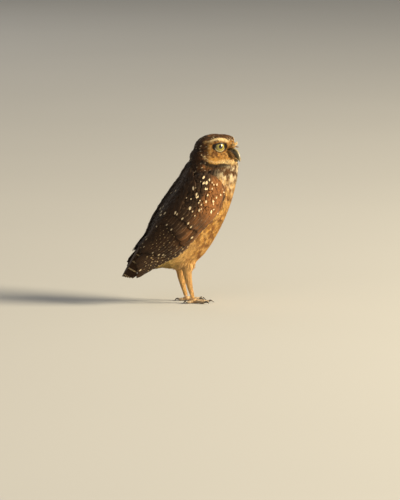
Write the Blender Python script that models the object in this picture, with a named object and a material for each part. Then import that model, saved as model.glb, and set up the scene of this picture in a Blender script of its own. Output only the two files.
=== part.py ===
"""A standing burrowing owl, life size, as a still model: head turned to its right, body upright, wings folded.

Millimetres are used in the named sizes below and turned into metres when a mesh is made.
The bird faces +X, its left side is +Y, +Z is up, and its toes stand on z = 0.
"""

import math

import bmesh
import bpy
import numpy as np
from mathutils import Vector

MM = 0.001
GAP = 0.35
SHARP_ANGLE = math.radians(42)

# The trunk's centre line, from the throat to under the wing tips, and its half sizes there:
# x, z, back half depth, breast half depth, half width. One step of "along" is one row.
TRUNK = (
    (36.0, 206.0, 29.0, 35.5, 28.0),
    (31.0, 184.0, 35.0, 40.5, 32.5),
    (21.0, 163.0, 34.5, 45.0, 38.0),
    (9.0, 141.0, 36.5, 48.0, 42.0),
    (-5.0, 117.0, 39.5, 49.0, 43.0),
    (-19.0, 94.0, 40.5, 47.0, 41.0),
    (-35.0, 75.0, 36.5, 38.0, 35.0),
    (-52.0, 62.0, 32.0, 14.5, 27.5),
    (-69.0, 50.0, 28.0, 9.5, 22.5),
    (-86.0, 38.0, 22.0, 8.0, 19.5),
)
# Where the trunk's rings lie along it, and the share of their full size, rounded at both ends.
TRUNK_RINGS = (
    (0.03, 0.7), (0.1, 0.85), (0.22, 0.95), (0.5, 1.0), (1.0, 1.0), (1.5, 1.0), (2.0, 1.0), (2.5, 1.0),
    (3.0, 1.0), (3.5, 1.0), (4.0, 1.0), (4.5, 1.0), (5.0, 1.0), (5.5, 1.0), (6.0, 1.0), (6.5, 1.0),
    (7.0, 0.99), (7.3, 0.95), (7.48, 0.86), (7.6, 0.7), (7.67, 0.5), (7.7, 0.28),
)

HEAD_CENTRE = (39.5, 0.0, 211.0)
HEAD_TURN = -48.0
HEAD_TILT = 2.0
HEAD_FRONT = 29.5
HEAD_BACK = 31.5
HEAD_SIDE = 31.0
HEAD_TOP = 24.5
HEAD_UNDER = 25.0
HEAD_SQUARENESS = 2.35

NAPE_CENTRE = (24.0, 0.0, 203.0)
NAPE_RADII = (23.5, 25.0, 17.0)

EYE_CENTRE = (10.2, 14.8, 8.0)
EYE_RADIUS = 9.2
EYE_OUTWARD = 28.0
LID_THICKNESS = 1.1
LID_OPENING = (6.9, 5.6)

FOOT_X = 0.5
FOOT_Y = 14.5
HEEL_HEIGHT = 46.0
ANKLE_HEIGHT = 6.4
TOE_START = 2.0
# Each toe's heading from straight ahead in degrees (outward is positive), its length and its claw's.
TOES = (
    ("inner", -22.0, 17.0, 8.5),
    ("middle", 8.0, 21.0, 9.0),
    ("outer", 48.0, 17.0, 8.0),
    ("hind", 170.0, 11.0, 7.5),
)

COLOURS = {
    "plumage_brown": ((0.16, 0.09, 0.045), 0.85),
    "plumage_buff": ((0.62, 0.40, 0.18), 0.85),
    "flight": ((0.13, 0.075, 0.04), 0.75),
    "iris": ((0.75, 0.62, 0.10), 0.15),
    "bill": ((0.30, 0.27, 0.16), 0.4),
    "leg": ((0.60, 0.42, 0.24), 0.8),
    "claw": ((0.05, 0.04, 0.035), 0.4),
}


def smooth_row(table, along):
    """The table's row at a fractional index, on a smooth curve through its rows."""
    rows = np.array(table, float)
    last = len(rows) - 1
    along = min(max(along, 0.0), float(last))
    i = min(int(along), last - 1)
    s = along - i
    p1, p2 = rows[i], rows[i + 1]
    p0 = rows[i - 1] if i > 0 else 2 * p1 - p2
    p3 = rows[i + 2] if i + 2 <= last else 2 * p2 - p1
    linear = (p2 - p0) * s
    square = (2 * p0 - 5 * p1 + 4 * p2 - p3) * s**2
    cube = (3 * p1 - p0 - 3 * p2 + p3) * s**3
    return 0.5 * (2 * p1 + linear + square + cube)


def trunk_point(along, around, lift=0.0, side=1, scale=1.0):
    """A point over the trunk. around is 0 on the breast, 90 on the side and 180 on the back."""
    x, z, back, breast, half_width = smooth_row(TRUNK, along)
    run = smooth_row(TRUNK, along + 0.05)[:2] - smooth_row(TRUNK, along - 0.05)[:2]
    run /= np.linalg.norm(run)
    forward = np.array((-run[1], 0.0, run[0]))
    sideways = np.array((0.0, float(side), 0.0))
    c, s = math.cos(math.radians(around)), math.sin(math.radians(around))
    depth = breast if c > 0 else back
    out = forward * (c / depth) + sideways * (s / half_width)
    out /= np.linalg.norm(out)
    centre = np.array((x, 0.0, z))
    return centre + scale * (forward * depth * c + sideways * half_width * s) + out * lift


def row_length(along):
    """Millimetres of trunk to one row of the table."""
    return float(np.linalg.norm(smooth_row(TRUNK, along + 0.5)[:2] - smooth_row(TRUNK, along - 0.5)[:2]))


def degree_length(along):
    """Millimetres round the trunk to one degree."""
    _, _, back, breast, half_width = smooth_row(TRUNK, along)
    return math.radians(1) * (back + breast + 2 * half_width) / 4


def head_point(forward, left, up):
    """A point given in the head's own directions, in the bird's frame."""
    tilt, turn = math.radians(HEAD_TILT), math.radians(HEAD_TURN)
    f = forward * math.cos(tilt) - up * math.sin(tilt)
    u = forward * math.sin(tilt) + up * math.cos(tilt)
    x = f * math.cos(turn) - left * math.sin(turn)
    y = f * math.sin(turn) + left * math.cos(turn)
    return np.array(HEAD_CENTRE) + np.array((x, y, u))


def new_object(name, points, faces, colour):
    """A closed mesh object from points in millimetres, its faces turned outwards."""
    mesh = bpy.data.meshes.new(name)
    mesh.from_pydata([tuple(float(c) * MM for c in p) for p in points], [], faces)
    bm = bmesh.new()
    bm.from_mesh(mesh)
    bmesh.ops.recalc_face_normals(bm, faces=bm.faces)
    if bm.calc_volume(signed=True) < 0:
        bmesh.ops.reverse_faces(bm, faces=bm.faces)
    bm.to_mesh(mesh)
    bm.free()
    obj = bpy.data.objects.new(name, mesh)
    bpy.context.scene.collection.objects.link(obj)
    mesh.materials.append(material(colour))
    return obj


def material(name):
    """The plain finish of one kind of surface."""
    found = bpy.data.materials.get(name)
    if found:
        return found
    (r, g, b), roughness = COLOURS[name]
    made = bpy.data.materials.new(name)
    made.use_nodes = True
    shader = made.node_tree.nodes["Principled BSDF"]
    shader.inputs["Base Color"].default_value = (r, g, b, 1.0)
    shader.inputs["Roughness"].default_value = roughness
    shader.inputs["Metallic"].default_value = 0.0
    made.diffuse_color = (r, g, b, 1.0)
    return made


def tube(rings, name, colour):
    """A closed skin over rings of points, each end filled by a fan of its own centre."""
    count = len(rings[0])
    points = [p for ring in rings for p in ring]
    faces = []
    for k in range(len(rings) - 1):
        for j in range(count):
            a, b = k * count + j, k * count + (j + 1) % count
            faces.append((a, b, b + count))
            faces.append((a, b + count, a + count))
    for k in (0, len(rings) - 1):
        centre = len(points)
        points.append(np.mean(rings[k], axis=0))
        for j in range(count):
            faces.append((k * count + j, k * count + (j + 1) % count, centre))
    return new_object(name, points, faces, colour)


def plate(top, under, name, colour):
    """A closed plate between two grids of points that are split into triangles alike."""
    rows, columns = len(top), len(top[0])
    points = [p for grid in (top, under) for row in grid for p in row]
    half = rows * columns
    faces = []
    for k in range(rows - 1):
        for j in range(columns - 1):
            a = k * columns + j
            b, c, d = a + 1, a + columns + 1, a + columns
            faces += [(a, b, c), (a, c, d), (a + half, c + half, b + half), (a + half, d + half, c + half)]
    edge = [j for j in range(columns)]
    edge += [k * columns + columns - 1 for k in range(1, rows)]
    edge += [(rows - 1) * columns + j for j in range(columns - 2, -1, -1)]
    edge += [k * columns for k in range(rows - 2, 0, -1)]
    for a, b in zip(edge, edge[1:] + edge[:1]):
        faces += [(a, a + half, b + half), (a, b + half, b)]
    return new_object(name, points, faces, colour)


def ball(centre, radius, name, colour, segments=20, rings=12):
    """A round ball of the given radius, or of three radii."""
    mesh = bpy.data.meshes.new(name)
    bm = bmesh.new()
    bmesh.ops.create_uvsphere(bm, u_segments=segments, v_segments=rings, radius=1.0)
    radii = np.ones(3) * radius
    for v in bm.verts:
        v.co = Vector([float(c) * MM for c in np.array(centre) + radii * np.array(v.co)])
    bm.to_mesh(mesh)
    bm.free()
    obj = bpy.data.objects.new(name, mesh)
    bpy.context.scene.collection.objects.link(obj)
    mesh.materials.append(material(colour))
    return obj


def apply_modifiers(obj):
    """Keeps the object's evaluated mesh and drops its modifiers."""
    bpy.context.view_layer.update()
    graph = bpy.context.evaluated_depsgraph_get()
    mesh = bpy.data.meshes.new_from_object(obj.evaluated_get(graph))
    obj.modifiers.clear()
    obj.data = mesh


def remove(objects):
    for obj in objects:
        bpy.data.objects.remove(obj)


def join(target, pieces, solver="EXACT"):
    """One union of the target with closed pieces, which are then removed."""
    group = bpy.data.collections.new(target.name + "_pieces")
    bpy.context.scene.collection.children.link(group)
    for piece in pieces:
        bpy.context.scene.collection.objects.unlink(piece)
        group.objects.link(piece)
    union = target.modifiers.new("union", "BOOLEAN")
    union.operation = "UNION"
    union.solver = solver
    union.operand_type = "COLLECTION"
    union.collection = group
    apply_modifiers(target)
    remove(list(group.objects))
    bpy.data.collections.remove(group)
    keep_largest(target)
    return target


def carve(target, cutters):
    """Cuts each cutter out of the target, and removes the cutters."""
    for cutter in cutters:
        cut = target.modifiers.new("cut", "BOOLEAN")
        cut.operation = "DIFFERENCE"
        cut.solver = "EXACT"
        cut.object = cutter
    apply_modifiers(target)
    remove(cutters)
    keep_largest(target)
    return target


def keep_largest(obj):
    """Drops every closed surface of the mesh but the largest."""
    bm = bmesh.new()
    bm.from_mesh(obj.data)
    bmesh.ops.triangulate(bm, faces=bm.faces)
    seen, shells = set(), []
    for start in bm.faces:
        if start in seen:
            continue
        shell, queue = [], [start]
        seen.add(start)
        while queue:
            face = queue.pop()
            shell.append(face)
            for edge in face.edges:
                for other in edge.link_faces:
                    if other not in seen:
                        seen.add(other)
                        queue.append(other)
        shells.append(shell)
    shells.sort(key=len)
    loose = [face for shell in shells[:-1] for face in shell]
    bmesh.ops.delete(bm, geom=loose, context="FACES")
    bm.to_mesh(obj.data)
    bm.free()


def part_of(obj, name, cuts):
    """A copy of the object cut by planes, each a point and the direction of the side to drop."""
    bm = bmesh.new()
    bm.from_mesh(obj.data)
    for point, away in cuts:
        everything = list(bm.verts) + list(bm.edges) + list(bm.faces)
        where = Vector([c * MM for c in point])
        bmesh.ops.bisect_plane(
            bm, geom=everything, plane_co=where, plane_no=Vector(away), clear_outer=True, dist=1e-7
        )
        rim = [edge for edge in bm.edges if edge.is_boundary]
        bmesh.ops.holes_fill(bm, edges=rim, sides=0)
    bmesh.ops.triangulate(bm, faces=bm.faces)
    mesh = bpy.data.meshes.new(name)
    bm.to_mesh(mesh)
    bm.free()
    piece = bpy.data.objects.new(name, mesh)
    bpy.context.scene.collection.objects.link(piece)
    for slot in obj.data.materials:
        mesh.materials.append(slot)
    keep_largest(piece)
    return piece


def trunk_shell(name, lift=0.0):
    """The trunk's closed surface, at a height over its own."""
    segments = 30
    turns = [360 * j / segments for j in range(segments)]
    rings = []
    for along, scale in TRUNK_RINGS:
        rings.append([trunk_point(along, turn, lift, 1, scale) for turn in turns])
    return tube(rings, name, "plumage_buff")


def bump(l, u, centre, reach, height):
    """A smooth round rise over the face, at a place across and up it."""
    away = ((l - centre[0]) / reach[0]) ** 2 + ((u - centre[1]) / reach[1]) ** 2
    return height * math.exp(-away)


def head_surface(polar, around):
    """A point of the head, polar degrees from straight ahead and around degrees from straight up."""
    p, a = math.radians(polar), math.radians(around)
    ray = np.array((math.cos(p), math.sin(p) * math.sin(a), math.sin(p) * math.cos(a)))
    half = (
        HEAD_FRONT if ray[0] > 0 else HEAD_BACK,
        HEAD_SIDE,
        HEAD_TOP if ray[2] > 0 else HEAD_UNDER,
    )
    k = HEAD_SQUARENESS
    reach = sum(abs(ray[i] / half[i]) ** k for i in range(3)) ** (-1 / k)
    point = ray * reach
    l, u = abs(point[1]), point[2]
    if ray[0] > 0:
        facing = min(1.0, ray[0] * 1.6)
        rise = bump(l, u, (16.5, 6.8), (8.5, 7.5), -8.0)
        rise += bump(l, u, (0.0, -2.0), (8.5, 5.5), -4.5)
        rise += bump(l, u, (7.5, 10.5), (6.5, 6.5), 5.5)
        rise += bump(l, u, (19.5, 17.5), (9.0, 4.2), 3.5)
        rise += bump(l, u, (0.0, -17.0), (16.0, 7.0), 5.5)
        rise += bump(l, u, (19.0, -9.0), (8.0, 7.0), 1.5)
        point[0] += rise * facing
    return point


def make_head_blob():
    """The head's closed surface without its bill and eyes, finer round the face."""
    polars = [8, 15, 22, 28, 34, 40, 46, 52, 58, 65, 73, 82, 93, 106, 121, 138, 156, 170]
    segments = 38
    rings = []
    for polar in polars:
        rings.append([head_point(*head_surface(polar, 360 * j / segments)) for j in range(segments)])
    return tube(rings, "head_blob", "plumage_brown")


def eye_frame(side):
    """An eye's centre and the direction that it looks in, in the head's directions."""
    f, l, u = EYE_CENTRE
    out = math.radians(EYE_OUTWARD)
    return np.array((f, side * l, u)), np.array((math.cos(out), side * math.sin(out), 0.0))


def eye_ball(side, name, grow=0.0):
    centre, _ = eye_frame(side)
    return ball(head_point(*centre), EYE_RADIUS + grow, name, "iris", 16, 10)


def lid_cutter(side):
    """An oval rod that opens the lids in front of the eye."""
    centre, look = eye_frame(side)
    across = np.array((-look[1], look[0], 0.0))
    up = np.array((0.0, 0.0, 1.0))
    rings = []
    for distance in (4.0, 16.0):
        ring = []
        for j in range(20):
            turn = math.radians(360 * j / 20)
            offset = across * LID_OPENING[0] * math.cos(turn) + up * LID_OPENING[1] * math.sin(turn)
            ring.append(head_point(*(centre + look * distance + offset)))
        rings.append(ring)
    return tube(rings, "lid_cutter", "iris")


# The bill's sections in the head's directions: ridge forward and up, edge forward and up, half width.
UPPER_BILL = (
    (17.0, 6.4, 14.0, -4.0, 5.4),
    (23.5, 5.8, 19.0, -5.6, 5.5),
    (29.0, 4.0, 24.0, -7.4, 5.0),
    (33.2, 0.6, 28.2, -9.3, 4.2),
    (35.8, -3.9, 31.6, -11.2, 3.1),
    (37.0, -9.0, 34.3, -13.0, 1.9),
    (37.0, -13.6, 36.0, -14.9, 0.7),
)
LOWER_BILL = (
    (14.0, -4.0, 14.0, -10.0, 4.9),
    (19.3, -5.7, 19.0, -11.2, 4.9),
    (24.5, -7.4, 24.0, -12.6, 4.3),
    (28.7, -9.2, 28.0, -13.9, 3.4),
    (31.7, -11.0, 31.0, -14.6, 2.2),
    (33.6, -12.6, 32.8, -14.6, 0.9),
)


def bill_half(sections, name, pointed_up=1.0):
    """One half of the bill: narrower at its ridge than at its base."""
    rings = []
    for ridge_f, ridge_u, edge_f, edge_u, half_width in sections:
        ridge, edge = np.array((ridge_f, ridge_u)), np.array((edge_f, edge_u))
        middle = (ridge + edge) / 2
        ring = []
        for j in range(12):
            turn = math.radians(360 * (j + 0.5) / 12)
            high, wide = math.cos(turn), math.sin(turn)
            squeeze = 1.0 - 0.42 * max(0.0, high * pointed_up) ** 2
            reach = 1.0 if high * pointed_up > 0 else 0.8
            place = middle + (ridge - edge) / 2 * high * reach
            f, u = place
            ring.append(head_point(f, half_width * squeeze * wide, u))
        rings.append(ring)
    return tube(rings, name, "bill")


def swollen(obj, distance):
    """The object with its surface moved outwards."""
    for v, normal in zip(obj.data.vertices, [v.normal.copy() for v in obj.data.vertices]):
        v.co += normal * distance * MM
    return obj


def nostril_cutters():
    found = []
    for side in (1, -1):
        centre = head_point(28.4, side * 3.9, 1.2)
        found.append(ball(centre, (1.2, 1.2, 1.0), "nostril", "bill", 10, 6))
    return found


TAIL_TIP = (-99.5, 0.0, 40.0)
TAIL_LENGTH = 62.0
TAIL_HALF_WIDTH = 19.0
TAIL_ROOT_HALF_WIDTH = 6.0
TAIL_DROOP = 10.0
TAIL_ROUNDING = 7.0
TAIL_FEATHERS = 12
# The block that the quills grow from: inward from the tip, half width, half height.
TAIL_ROOT = ((29.0, 13.5, 2.5), (31.5, 16.0, 4.4), (46.0, 13.5, 5.0), (60.0, 10.0, 4.6), (64.0, 8.0, 3.2))


def tail_point(inward, sideways, lift):
    """A point of the tail: inward from the tip, sideways, and above its tented surface."""
    into = np.array((0.53, 0.0, 0.848))
    above = np.array((-0.848, 0.0, 0.53))
    tented = -TAIL_DROOP * (sideways / TAIL_HALF_WIDTH) ** 2 * (1 - 0.75 * inward / TAIL_LENGTH)
    return np.array(TAIL_TIP) + into * inward + above * (lift + tented) + np.array((0.0, sideways, 0.0))


def tail_root():
    """The block in the rump that the tail's quills grow from."""
    rings = []
    for inward, half_width, half_height in TAIL_ROOT:
        ring = []
        for j in range(16):
            turn = math.radians(360 * j / 16)
            ring.append(tail_point(inward, half_width * math.cos(turn), half_height * math.sin(turn) - 2.4))
        rings.append(ring)
    return tube(rings, "tail", "flight")


def make_tail():
    """Twelve tail feathers, the middle pair on top and each outer one under its neighbour."""
    vanes = []
    for k in range(TAIL_FEATHERS):
        c = (k - (TAIL_FEATHERS - 1) / 2) / ((TAIL_FEATHERS - 1) / 2)
        top, below = [], []
        for s, share in ((0.62, 0.6), (0.4, 0.95), (0.12, 1.0), (0.02, 0.72), (-0.03, 0.3)):
            under = abs(c) * 4.6 * (1 - 0.5 * s)
            inward = s * TAIL_LENGTH + TAIL_ROUNDING * c * c * (1 - s)
            middle = c * (TAIL_HALF_WIDTH + (TAIL_ROOT_HALF_WIDTH - TAIL_HALF_WIDTH) * s)
            half = share * 5.4 * (1 - 0.45 * max(s, 0.0))
            row = [tail_point(inward, middle + v * half, -under) for v in (-1, 1)]
            row_below = [tail_point(inward, middle + v * half, -under - 0.6) for v in (-1, 1)]
            top.append(row)
            below.append(row_below)
        vanes.append(plate(top, below, "rectrix", "flight"))
    return join(tail_root(), vanes)


# The folded wing on the trunk: along, lower edge and upper edge in degrees, height of its arm.
WING = (
    (1.30, 90.0, 112.0, 1.6),
    (1.48, 76.0, 132.0, 3.0),
    (1.90, 66.0, 146.0, 3.8),
    (2.60, 63.0, 154.0, 3.8),
    (3.40, 68.0, 158.0, 3.2),
    (4.20, 80.0, 160.0, 2.7),
    (5.00, 88.0, 160.0, 2.3),
    (5.80, 91.0, 158.0, 1.9),
    (6.60, 93.0, 150.0, 1.6),
    (7.20, 95.0, 128.0, 1.4),
)
WING_CLEARANCE = 0.75
VANE_THICKNESS = 0.55


def wing_arm(side):
    """The wing's bones, flesh and small feathers, as a plate that lies on the trunk."""
    top, under = [], []
    across = 8
    for s in np.linspace(0, len(WING) - 1, 16):
        along, lower, upper, height = smooth_row(WING, s)
        row, row_under = [], []
        for j in range(across + 1):
            v = j / across
            around = lower + (upper - lower) * v
            crown = (1 - abs(2 * v - 1) ** 3) ** 0.6
            row.append(trunk_point(along, around, 1.3 + (height - 0.7) * crown, side))
            row_under.append(trunk_point(along, around, WING_CLEARANCE, side))
        top.append(row)
        under.append(row_under)
    return plate(top, under, "wing", "flight")


LONG_VANE = ((0.25, 0.85), (0.48, 1.0), (0.72, 1.0), (0.91, 0.72), (1.0, 0.25))
SHORT_VANE = ((0.3, 0.9), (0.78, 0.92), (1.0, 0.35))
VANE_TILT = 0.5


def wing_vane(side, root, tip, width, lifts, stations=SHORT_VANE):
    """One feather of the folded wing. root and tip are places along and around the trunk."""
    (a0, r0), (a1, r1) = root, tip
    unit = np.array(((a1 - a0) * row_length(a1), (r1 - r0) * degree_length(a1)))
    unit /= np.linalg.norm(unit)
    top, under = [], []
    for s, share in stations:
        row, row_under = [], []
        for v in (-1, 1):
            offset = v * share * width / 2
            along = a0 + (a1 - a0) * s
            along -= unit[1] * offset / row_length(along)
            turn = r0 + (r1 - r0) * s + unit[0] * offset / degree_length(along)
            height = lifts[0] + (lifts[1] - lifts[0]) * s - v * VANE_TILT
            row.append(trunk_point(along, turn, height, side))
            row_under.append(trunk_point(along, turn, height - VANE_THICKNESS, side))
        top.append(row)
        under.append(row_under)
    return plate(top, under, "vane", "flight")


# The tiers of a wing: how many, first and last root, first and last tip, width, first and last
# height over the trunk at the root and at the tip, and the vane's outline. Counted from the back.
TIERS = (
    (3, (3.0, 158.0), (3.1, 150.0), (7.1, 163.0), (7.75, 150.0), 10.5, (2.2, 2.2), (3.4, 3.2), LONG_VANE),
    (7, (3.2, 147.0), (4.2, 95.0), (7.65, 141.0), (6.5, 100.0), 11.0, (2.2, 2.2), (3.1, 2.6), LONG_VANE),
    (6, (4.4, 112.0), (4.1, 88.0), (7.75, 128.0), (8.15, 92.0), 9.0, (2.1, 2.1), (2.4, 1.8), LONG_VANE),
    (7, (3.0, 149.0), (3.6, 85.0), (4.75, 154.0), (5.15, 94.0), 12.5, (2.2, 2.2), (3.6, 4.0), SHORT_VANE),
    (6, (2.3, 146.0), (2.6, 76.0), (3.75, 151.0), (4.0, 83.0), 14.0, (2.6, 2.8), (3.9, 4.9), SHORT_VANE),
    (5, (1.75, 138.0), (2.0, 72.0), (2.95, 147.0), (3.15, 73.0), 15.0, (2.6, 3.0), (3.9, 5.2), SHORT_VANE),
    (4, (1.4, 122.0), (1.5, 86.0), (2.25, 137.0), (2.4, 72.0), 15.5, (2.0, 2.0), (3.9, 5.2), SHORT_VANE),
    (2, (2.8, 71.0), (2.6, 68.0), (4.5, 87.0), (3.9, 78.0), 9.0, (2.2, 2.2), (3.9, 4.1), LONG_VANE),
)


def make_wing(side, name):
    """A folded wing: arm, flight feathers and the tiers of coverts over them."""
    vanes = []
    for count, root0, root1, tip0, tip1, width, root_lifts, tip_lifts, stations in TIERS:
        for s in np.linspace(0, 1, count):
            root = np.array(root0) * (1 - s) + np.array(root1) * s
            tip = np.array(tip0) * (1 - s) + np.array(tip1) * s
            lifts = (
                root_lifts[0] * (1 - s) + root_lifts[1] * s,
                tip_lifts[0] * (1 - s) + tip_lifts[1] * s,
            )
            vanes.append(wing_vane(side, root, tip, width, lifts, stations))
    arm = wing_arm(side)
    arm.name = name
    arm.data.name = name
    return join(arm, vanes)


def round_limb(places, sizes, name, colour, segments=14):
    """A limb through points, with a half depth and a half width at each."""
    rings = []
    for k, (x, y, z) in enumerate(places):
        before = np.array(places[max(k - 1, 0)])
        after = np.array(places[min(k + 1, len(places) - 1)])
        run = (after - before) / np.linalg.norm(after - before)
        side = np.cross(run, np.array((1.0, 0.0, 0.0)))
        side /= np.linalg.norm(side)
        front = np.cross(side, run)
        depth, width = sizes[k]
        ring = []
        for j in range(segments):
            turn = math.radians(360 * j / segments)
            ring.append(np.array((x, y, z)) + front * depth * math.cos(turn) + side * width * math.sin(turn))
        rings.append(ring)
    return tube(rings, name, colour)


def make_thigh(side, name):
    """The feathered lower thigh, from the belly to the heel."""
    y = side * FOOT_Y
    places = [(-6.5, y, 74.0), (-7.5, y, 62.0), (-8.8, y, 53.0), (-9.8, y, 42.0)]
    sizes = [(14.5, 12.5), (13.0, 11.0), (10.0, 9.0), (6.6, 6.3)]
    whole = round_limb(places, sizes, "thigh_whole", "plumage_buff", 18)
    thigh = part_of(whole, name, [((0.0, 0.0, HEEL_HEIGHT + GAP), (0, 0, -1))])
    remove([whole])
    return carve(thigh, [trunk_shell("belly_cutter", GAP)])


def make_tarsus(side, name):
    """The feathered shank, from the heel to the foot."""
    y = side * FOOT_Y
    places = [(-9.8, y, 52.0), (-9.2, y, 44.0), (-7.6, y, 33.0), (-4.8, y, 21.0), (-2.0, y, 12.0), (-0.3, y, 3.0)]
    sizes = [(7.4, 7.0), (6.6, 6.3), (5.4, 5.0), (4.1, 3.8), (3.3, 3.1), (3.3, 3.3)]
    whole = round_limb(places, sizes, "tarsus_whole", "leg")
    cuts = [((0.0, 0.0, HEEL_HEIGHT), (0, 0, 1)), ((0.0, 0.0, ANKLE_HEIGHT + GAP), (0, 0, -1))]
    tarsus = part_of(whole, name, cuts)
    remove([whole])
    return tarsus


def toe_path(side, heading, distance, height):
    """A point over a toe's line along the floor."""
    turn = math.radians(side * heading)
    x = FOOT_X + distance * math.cos(turn)
    y = side * FOOT_Y + distance * math.sin(turn)
    return np.array((x, y, height))


def make_toe(side, heading, length, name):
    """A toe with its pads flat on the floor."""
    shares = ((0.0, 3.2, 2.6), (0.25, 3.2, 2.6), (0.42, 2.4, 2.1), (0.66, 2.3, 2.5), (0.84, 2.0, 2.0), (1.0, 2.4, 1.8))
    turn = math.radians(side * heading)
    sideways = np.array((-math.sin(turn), math.cos(turn), 0.0))
    rings = []
    for share, height, radius in shares:
        centre = toe_path(side, heading, TOE_START + (length - TOE_START) * share, height)
        ring = []
        for j in range(10):
            a = math.radians(360 * (j + 0.5) / 10)
            point = centre + sideways * radius * math.cos(a) + np.array((0.0, 0.0, radius * math.sin(a)))
            point[2] = max(point[2], 0.0)
            ring.append(point)
        rings.append(ring)
    return tube(rings, name, "leg")


def make_foot(side, name):
    """The four toes and the hub that they meet in, cut flat under the shank."""
    toes = [make_toe(side, heading, length, "toe") for _, heading, length, _ in TOES]
    hub = ball((FOOT_X, side * FOOT_Y, 4.2), (4.3, 4.1, 3.4), "foot_whole", "leg", 12, 7)
    join(hub, toes)
    foot = part_of(hub, name, [((0.0, 0.0, ANKLE_HEIGHT), (0, 0, 1))])
    remove([hub])
    return foot


def make_claw(side, heading, length, claw, name):
    """A curved, pointed claw from the toe's end."""
    turn = math.radians(side * heading)
    sideways = np.array((-math.sin(turn), math.cos(turn), 0.0))
    shares = ((0.0, 2.6, 1.35, -0.1), (0.25, 3.3, 1.25, 0.1), (0.5, 3.3, 1.0, 0.45), (0.75, 2.4, 0.7, 0.8), (1.0, 0.75, 0.3, 1.1))
    rings = []
    for share, height, radius, lean in shares:
        centre = toe_path(side, heading, length + GAP + (claw - GAP) * share * 0.86, height)
        ahead = np.array((math.cos(turn) * math.sin(lean), math.sin(turn) * math.sin(lean), math.cos(lean)))
        ring = []
        for j in range(8):
            a = math.radians(360 * j / 8)
            ring.append(centre + sideways * radius * math.cos(a) + ahead * radius * math.sin(a))
        rings.append(ring)
    return tube(rings, name, "claw")


HEAD_CUT = (36.0, 0.0, 190.0)
NECK_CUT = (31.0, 0.0, 175.0)
CUT_SLOPE = (-0.12, 0.0, 0.99)


def offset(point, direction, distance):
    return tuple(np.array(point) + np.array(direction) / np.linalg.norm(direction) * distance)


def make_body():
    """Head, neck and torso, modelled whole and parted with thin cuts."""
    whole = trunk_shell("whole")
    lids = []
    for side in (1, -1):
        centre, _ = eye_frame(side)
        lids.append(ball(head_point(*centre), EYE_RADIUS + LID_THICKNESS, "lid", "plumage_brown"))
    nape = ball(NAPE_CENTRE, NAPE_RADII, "nape", "plumage_brown", 24, 12)
    join(whole, [make_head_blob(), nape, *lids])
    cutters = [eye_ball(side, "socket", GAP) for side in (1, -1)]
    cutters += [lid_cutter(side) for side in (1, -1)]
    cutters += [swollen(bill_half(UPPER_BILL, "upper_socket"), 1.3 * GAP)]
    cutters += [swollen(bill_half(LOWER_BILL, "lower_socket", -1.0), 1.3 * GAP)]
    cutters += [swollen(tail_root(), 1.2 * GAP)]
    carve(whole, cutters)
    up, down = np.array(CUT_SLOPE), -np.array(CUT_SLOPE)
    part_of(whole, "head", [(offset(HEAD_CUT, up, GAP / 2), down)])
    part_of(whole, "neck", [(offset(HEAD_CUT, down, GAP / 2), up), (offset(NECK_CUT, up, GAP / 2), down)])
    part_of(whole, "torso", [(offset(NECK_CUT, down, GAP / 2), up)])
    remove([whole])


def centre_on_floor():
    """Moves the whole bird so that its box stands centred on the origin."""
    corners = [v.co for obj in bpy.data.objects for v in obj.data.vertices]
    low, high = np.min(corners, axis=0), np.max(corners, axis=0)
    shift = Vector((-(low[0] + high[0]) / 2, -(low[1] + high[1]) / 2, -low[2]))
    for obj in bpy.data.objects:
        for v in obj.data.vertices:
            v.co += shift


def main():
    remove(list(bpy.data.objects))
    make_body()
    carve(bill_half(UPPER_BILL, "bill_upper"), nostril_cutters())
    bill_half(LOWER_BILL, "bill_lower", -1.0)
    make_tail()
    for side, word in ((1, "left"), (-1, "right")):
        eye_ball(side, "eye_" + word)
        make_wing(side, "wing_" + word)
        make_thigh(side, "thigh_" + word)
        make_tarsus(side, "tarsus_" + word)
        make_foot(side, "foot_" + word)
        for toe, heading, length, claw in TOES:
            make_claw(side, heading, length, claw, f"claw_{toe}_{word}")
    centre_on_floor()
    for obj in bpy.data.objects:
        obj.data.shade_smooth()
        obj.data.set_sharp_from_angle(angle=SHARP_ANGLE)


main()
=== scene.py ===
"""Looks of a standing burrowing owl: its skin, feathers, eyes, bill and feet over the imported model.

Millimetres and the bird's own directions are used in the named sizes, as in the part's source:
the bird faces +X, its left side is +Y and +Z is up. place() turns them into the frame's metres.
"""

import math

import bmesh
import bpy
import numpy as np
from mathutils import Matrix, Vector
from mathutils.bvhtree import BVHTree


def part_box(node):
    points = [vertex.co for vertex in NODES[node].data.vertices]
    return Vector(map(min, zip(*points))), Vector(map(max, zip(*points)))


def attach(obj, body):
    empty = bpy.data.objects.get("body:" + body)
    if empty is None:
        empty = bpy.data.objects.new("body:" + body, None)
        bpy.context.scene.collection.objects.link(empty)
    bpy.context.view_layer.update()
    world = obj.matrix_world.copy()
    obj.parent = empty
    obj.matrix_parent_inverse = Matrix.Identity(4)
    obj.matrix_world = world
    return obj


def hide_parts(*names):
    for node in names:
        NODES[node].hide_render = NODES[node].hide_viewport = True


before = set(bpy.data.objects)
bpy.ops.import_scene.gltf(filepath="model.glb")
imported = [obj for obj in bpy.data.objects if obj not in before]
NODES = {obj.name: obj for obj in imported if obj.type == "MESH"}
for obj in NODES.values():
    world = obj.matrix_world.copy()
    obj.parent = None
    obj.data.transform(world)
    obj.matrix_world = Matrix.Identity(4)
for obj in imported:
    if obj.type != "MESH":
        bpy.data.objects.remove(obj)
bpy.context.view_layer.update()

MM = 0.001
SIDES = (("left", 1), ("right", -1))

# The camera: the photo's height in pixels, its millimetres to a pixel, and where its middle lies.
PHOTO_HEIGHT = 500
PHOTO_SCALE = 1.4
VIEW_TURN, VIEW_RISE = -20.0, 7.0
VIEW_RIGHT, VIEW_UP = 14.0, 72.8
CAMERA_DISTANCE = 6000.0
SENSOR = 36.0

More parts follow.
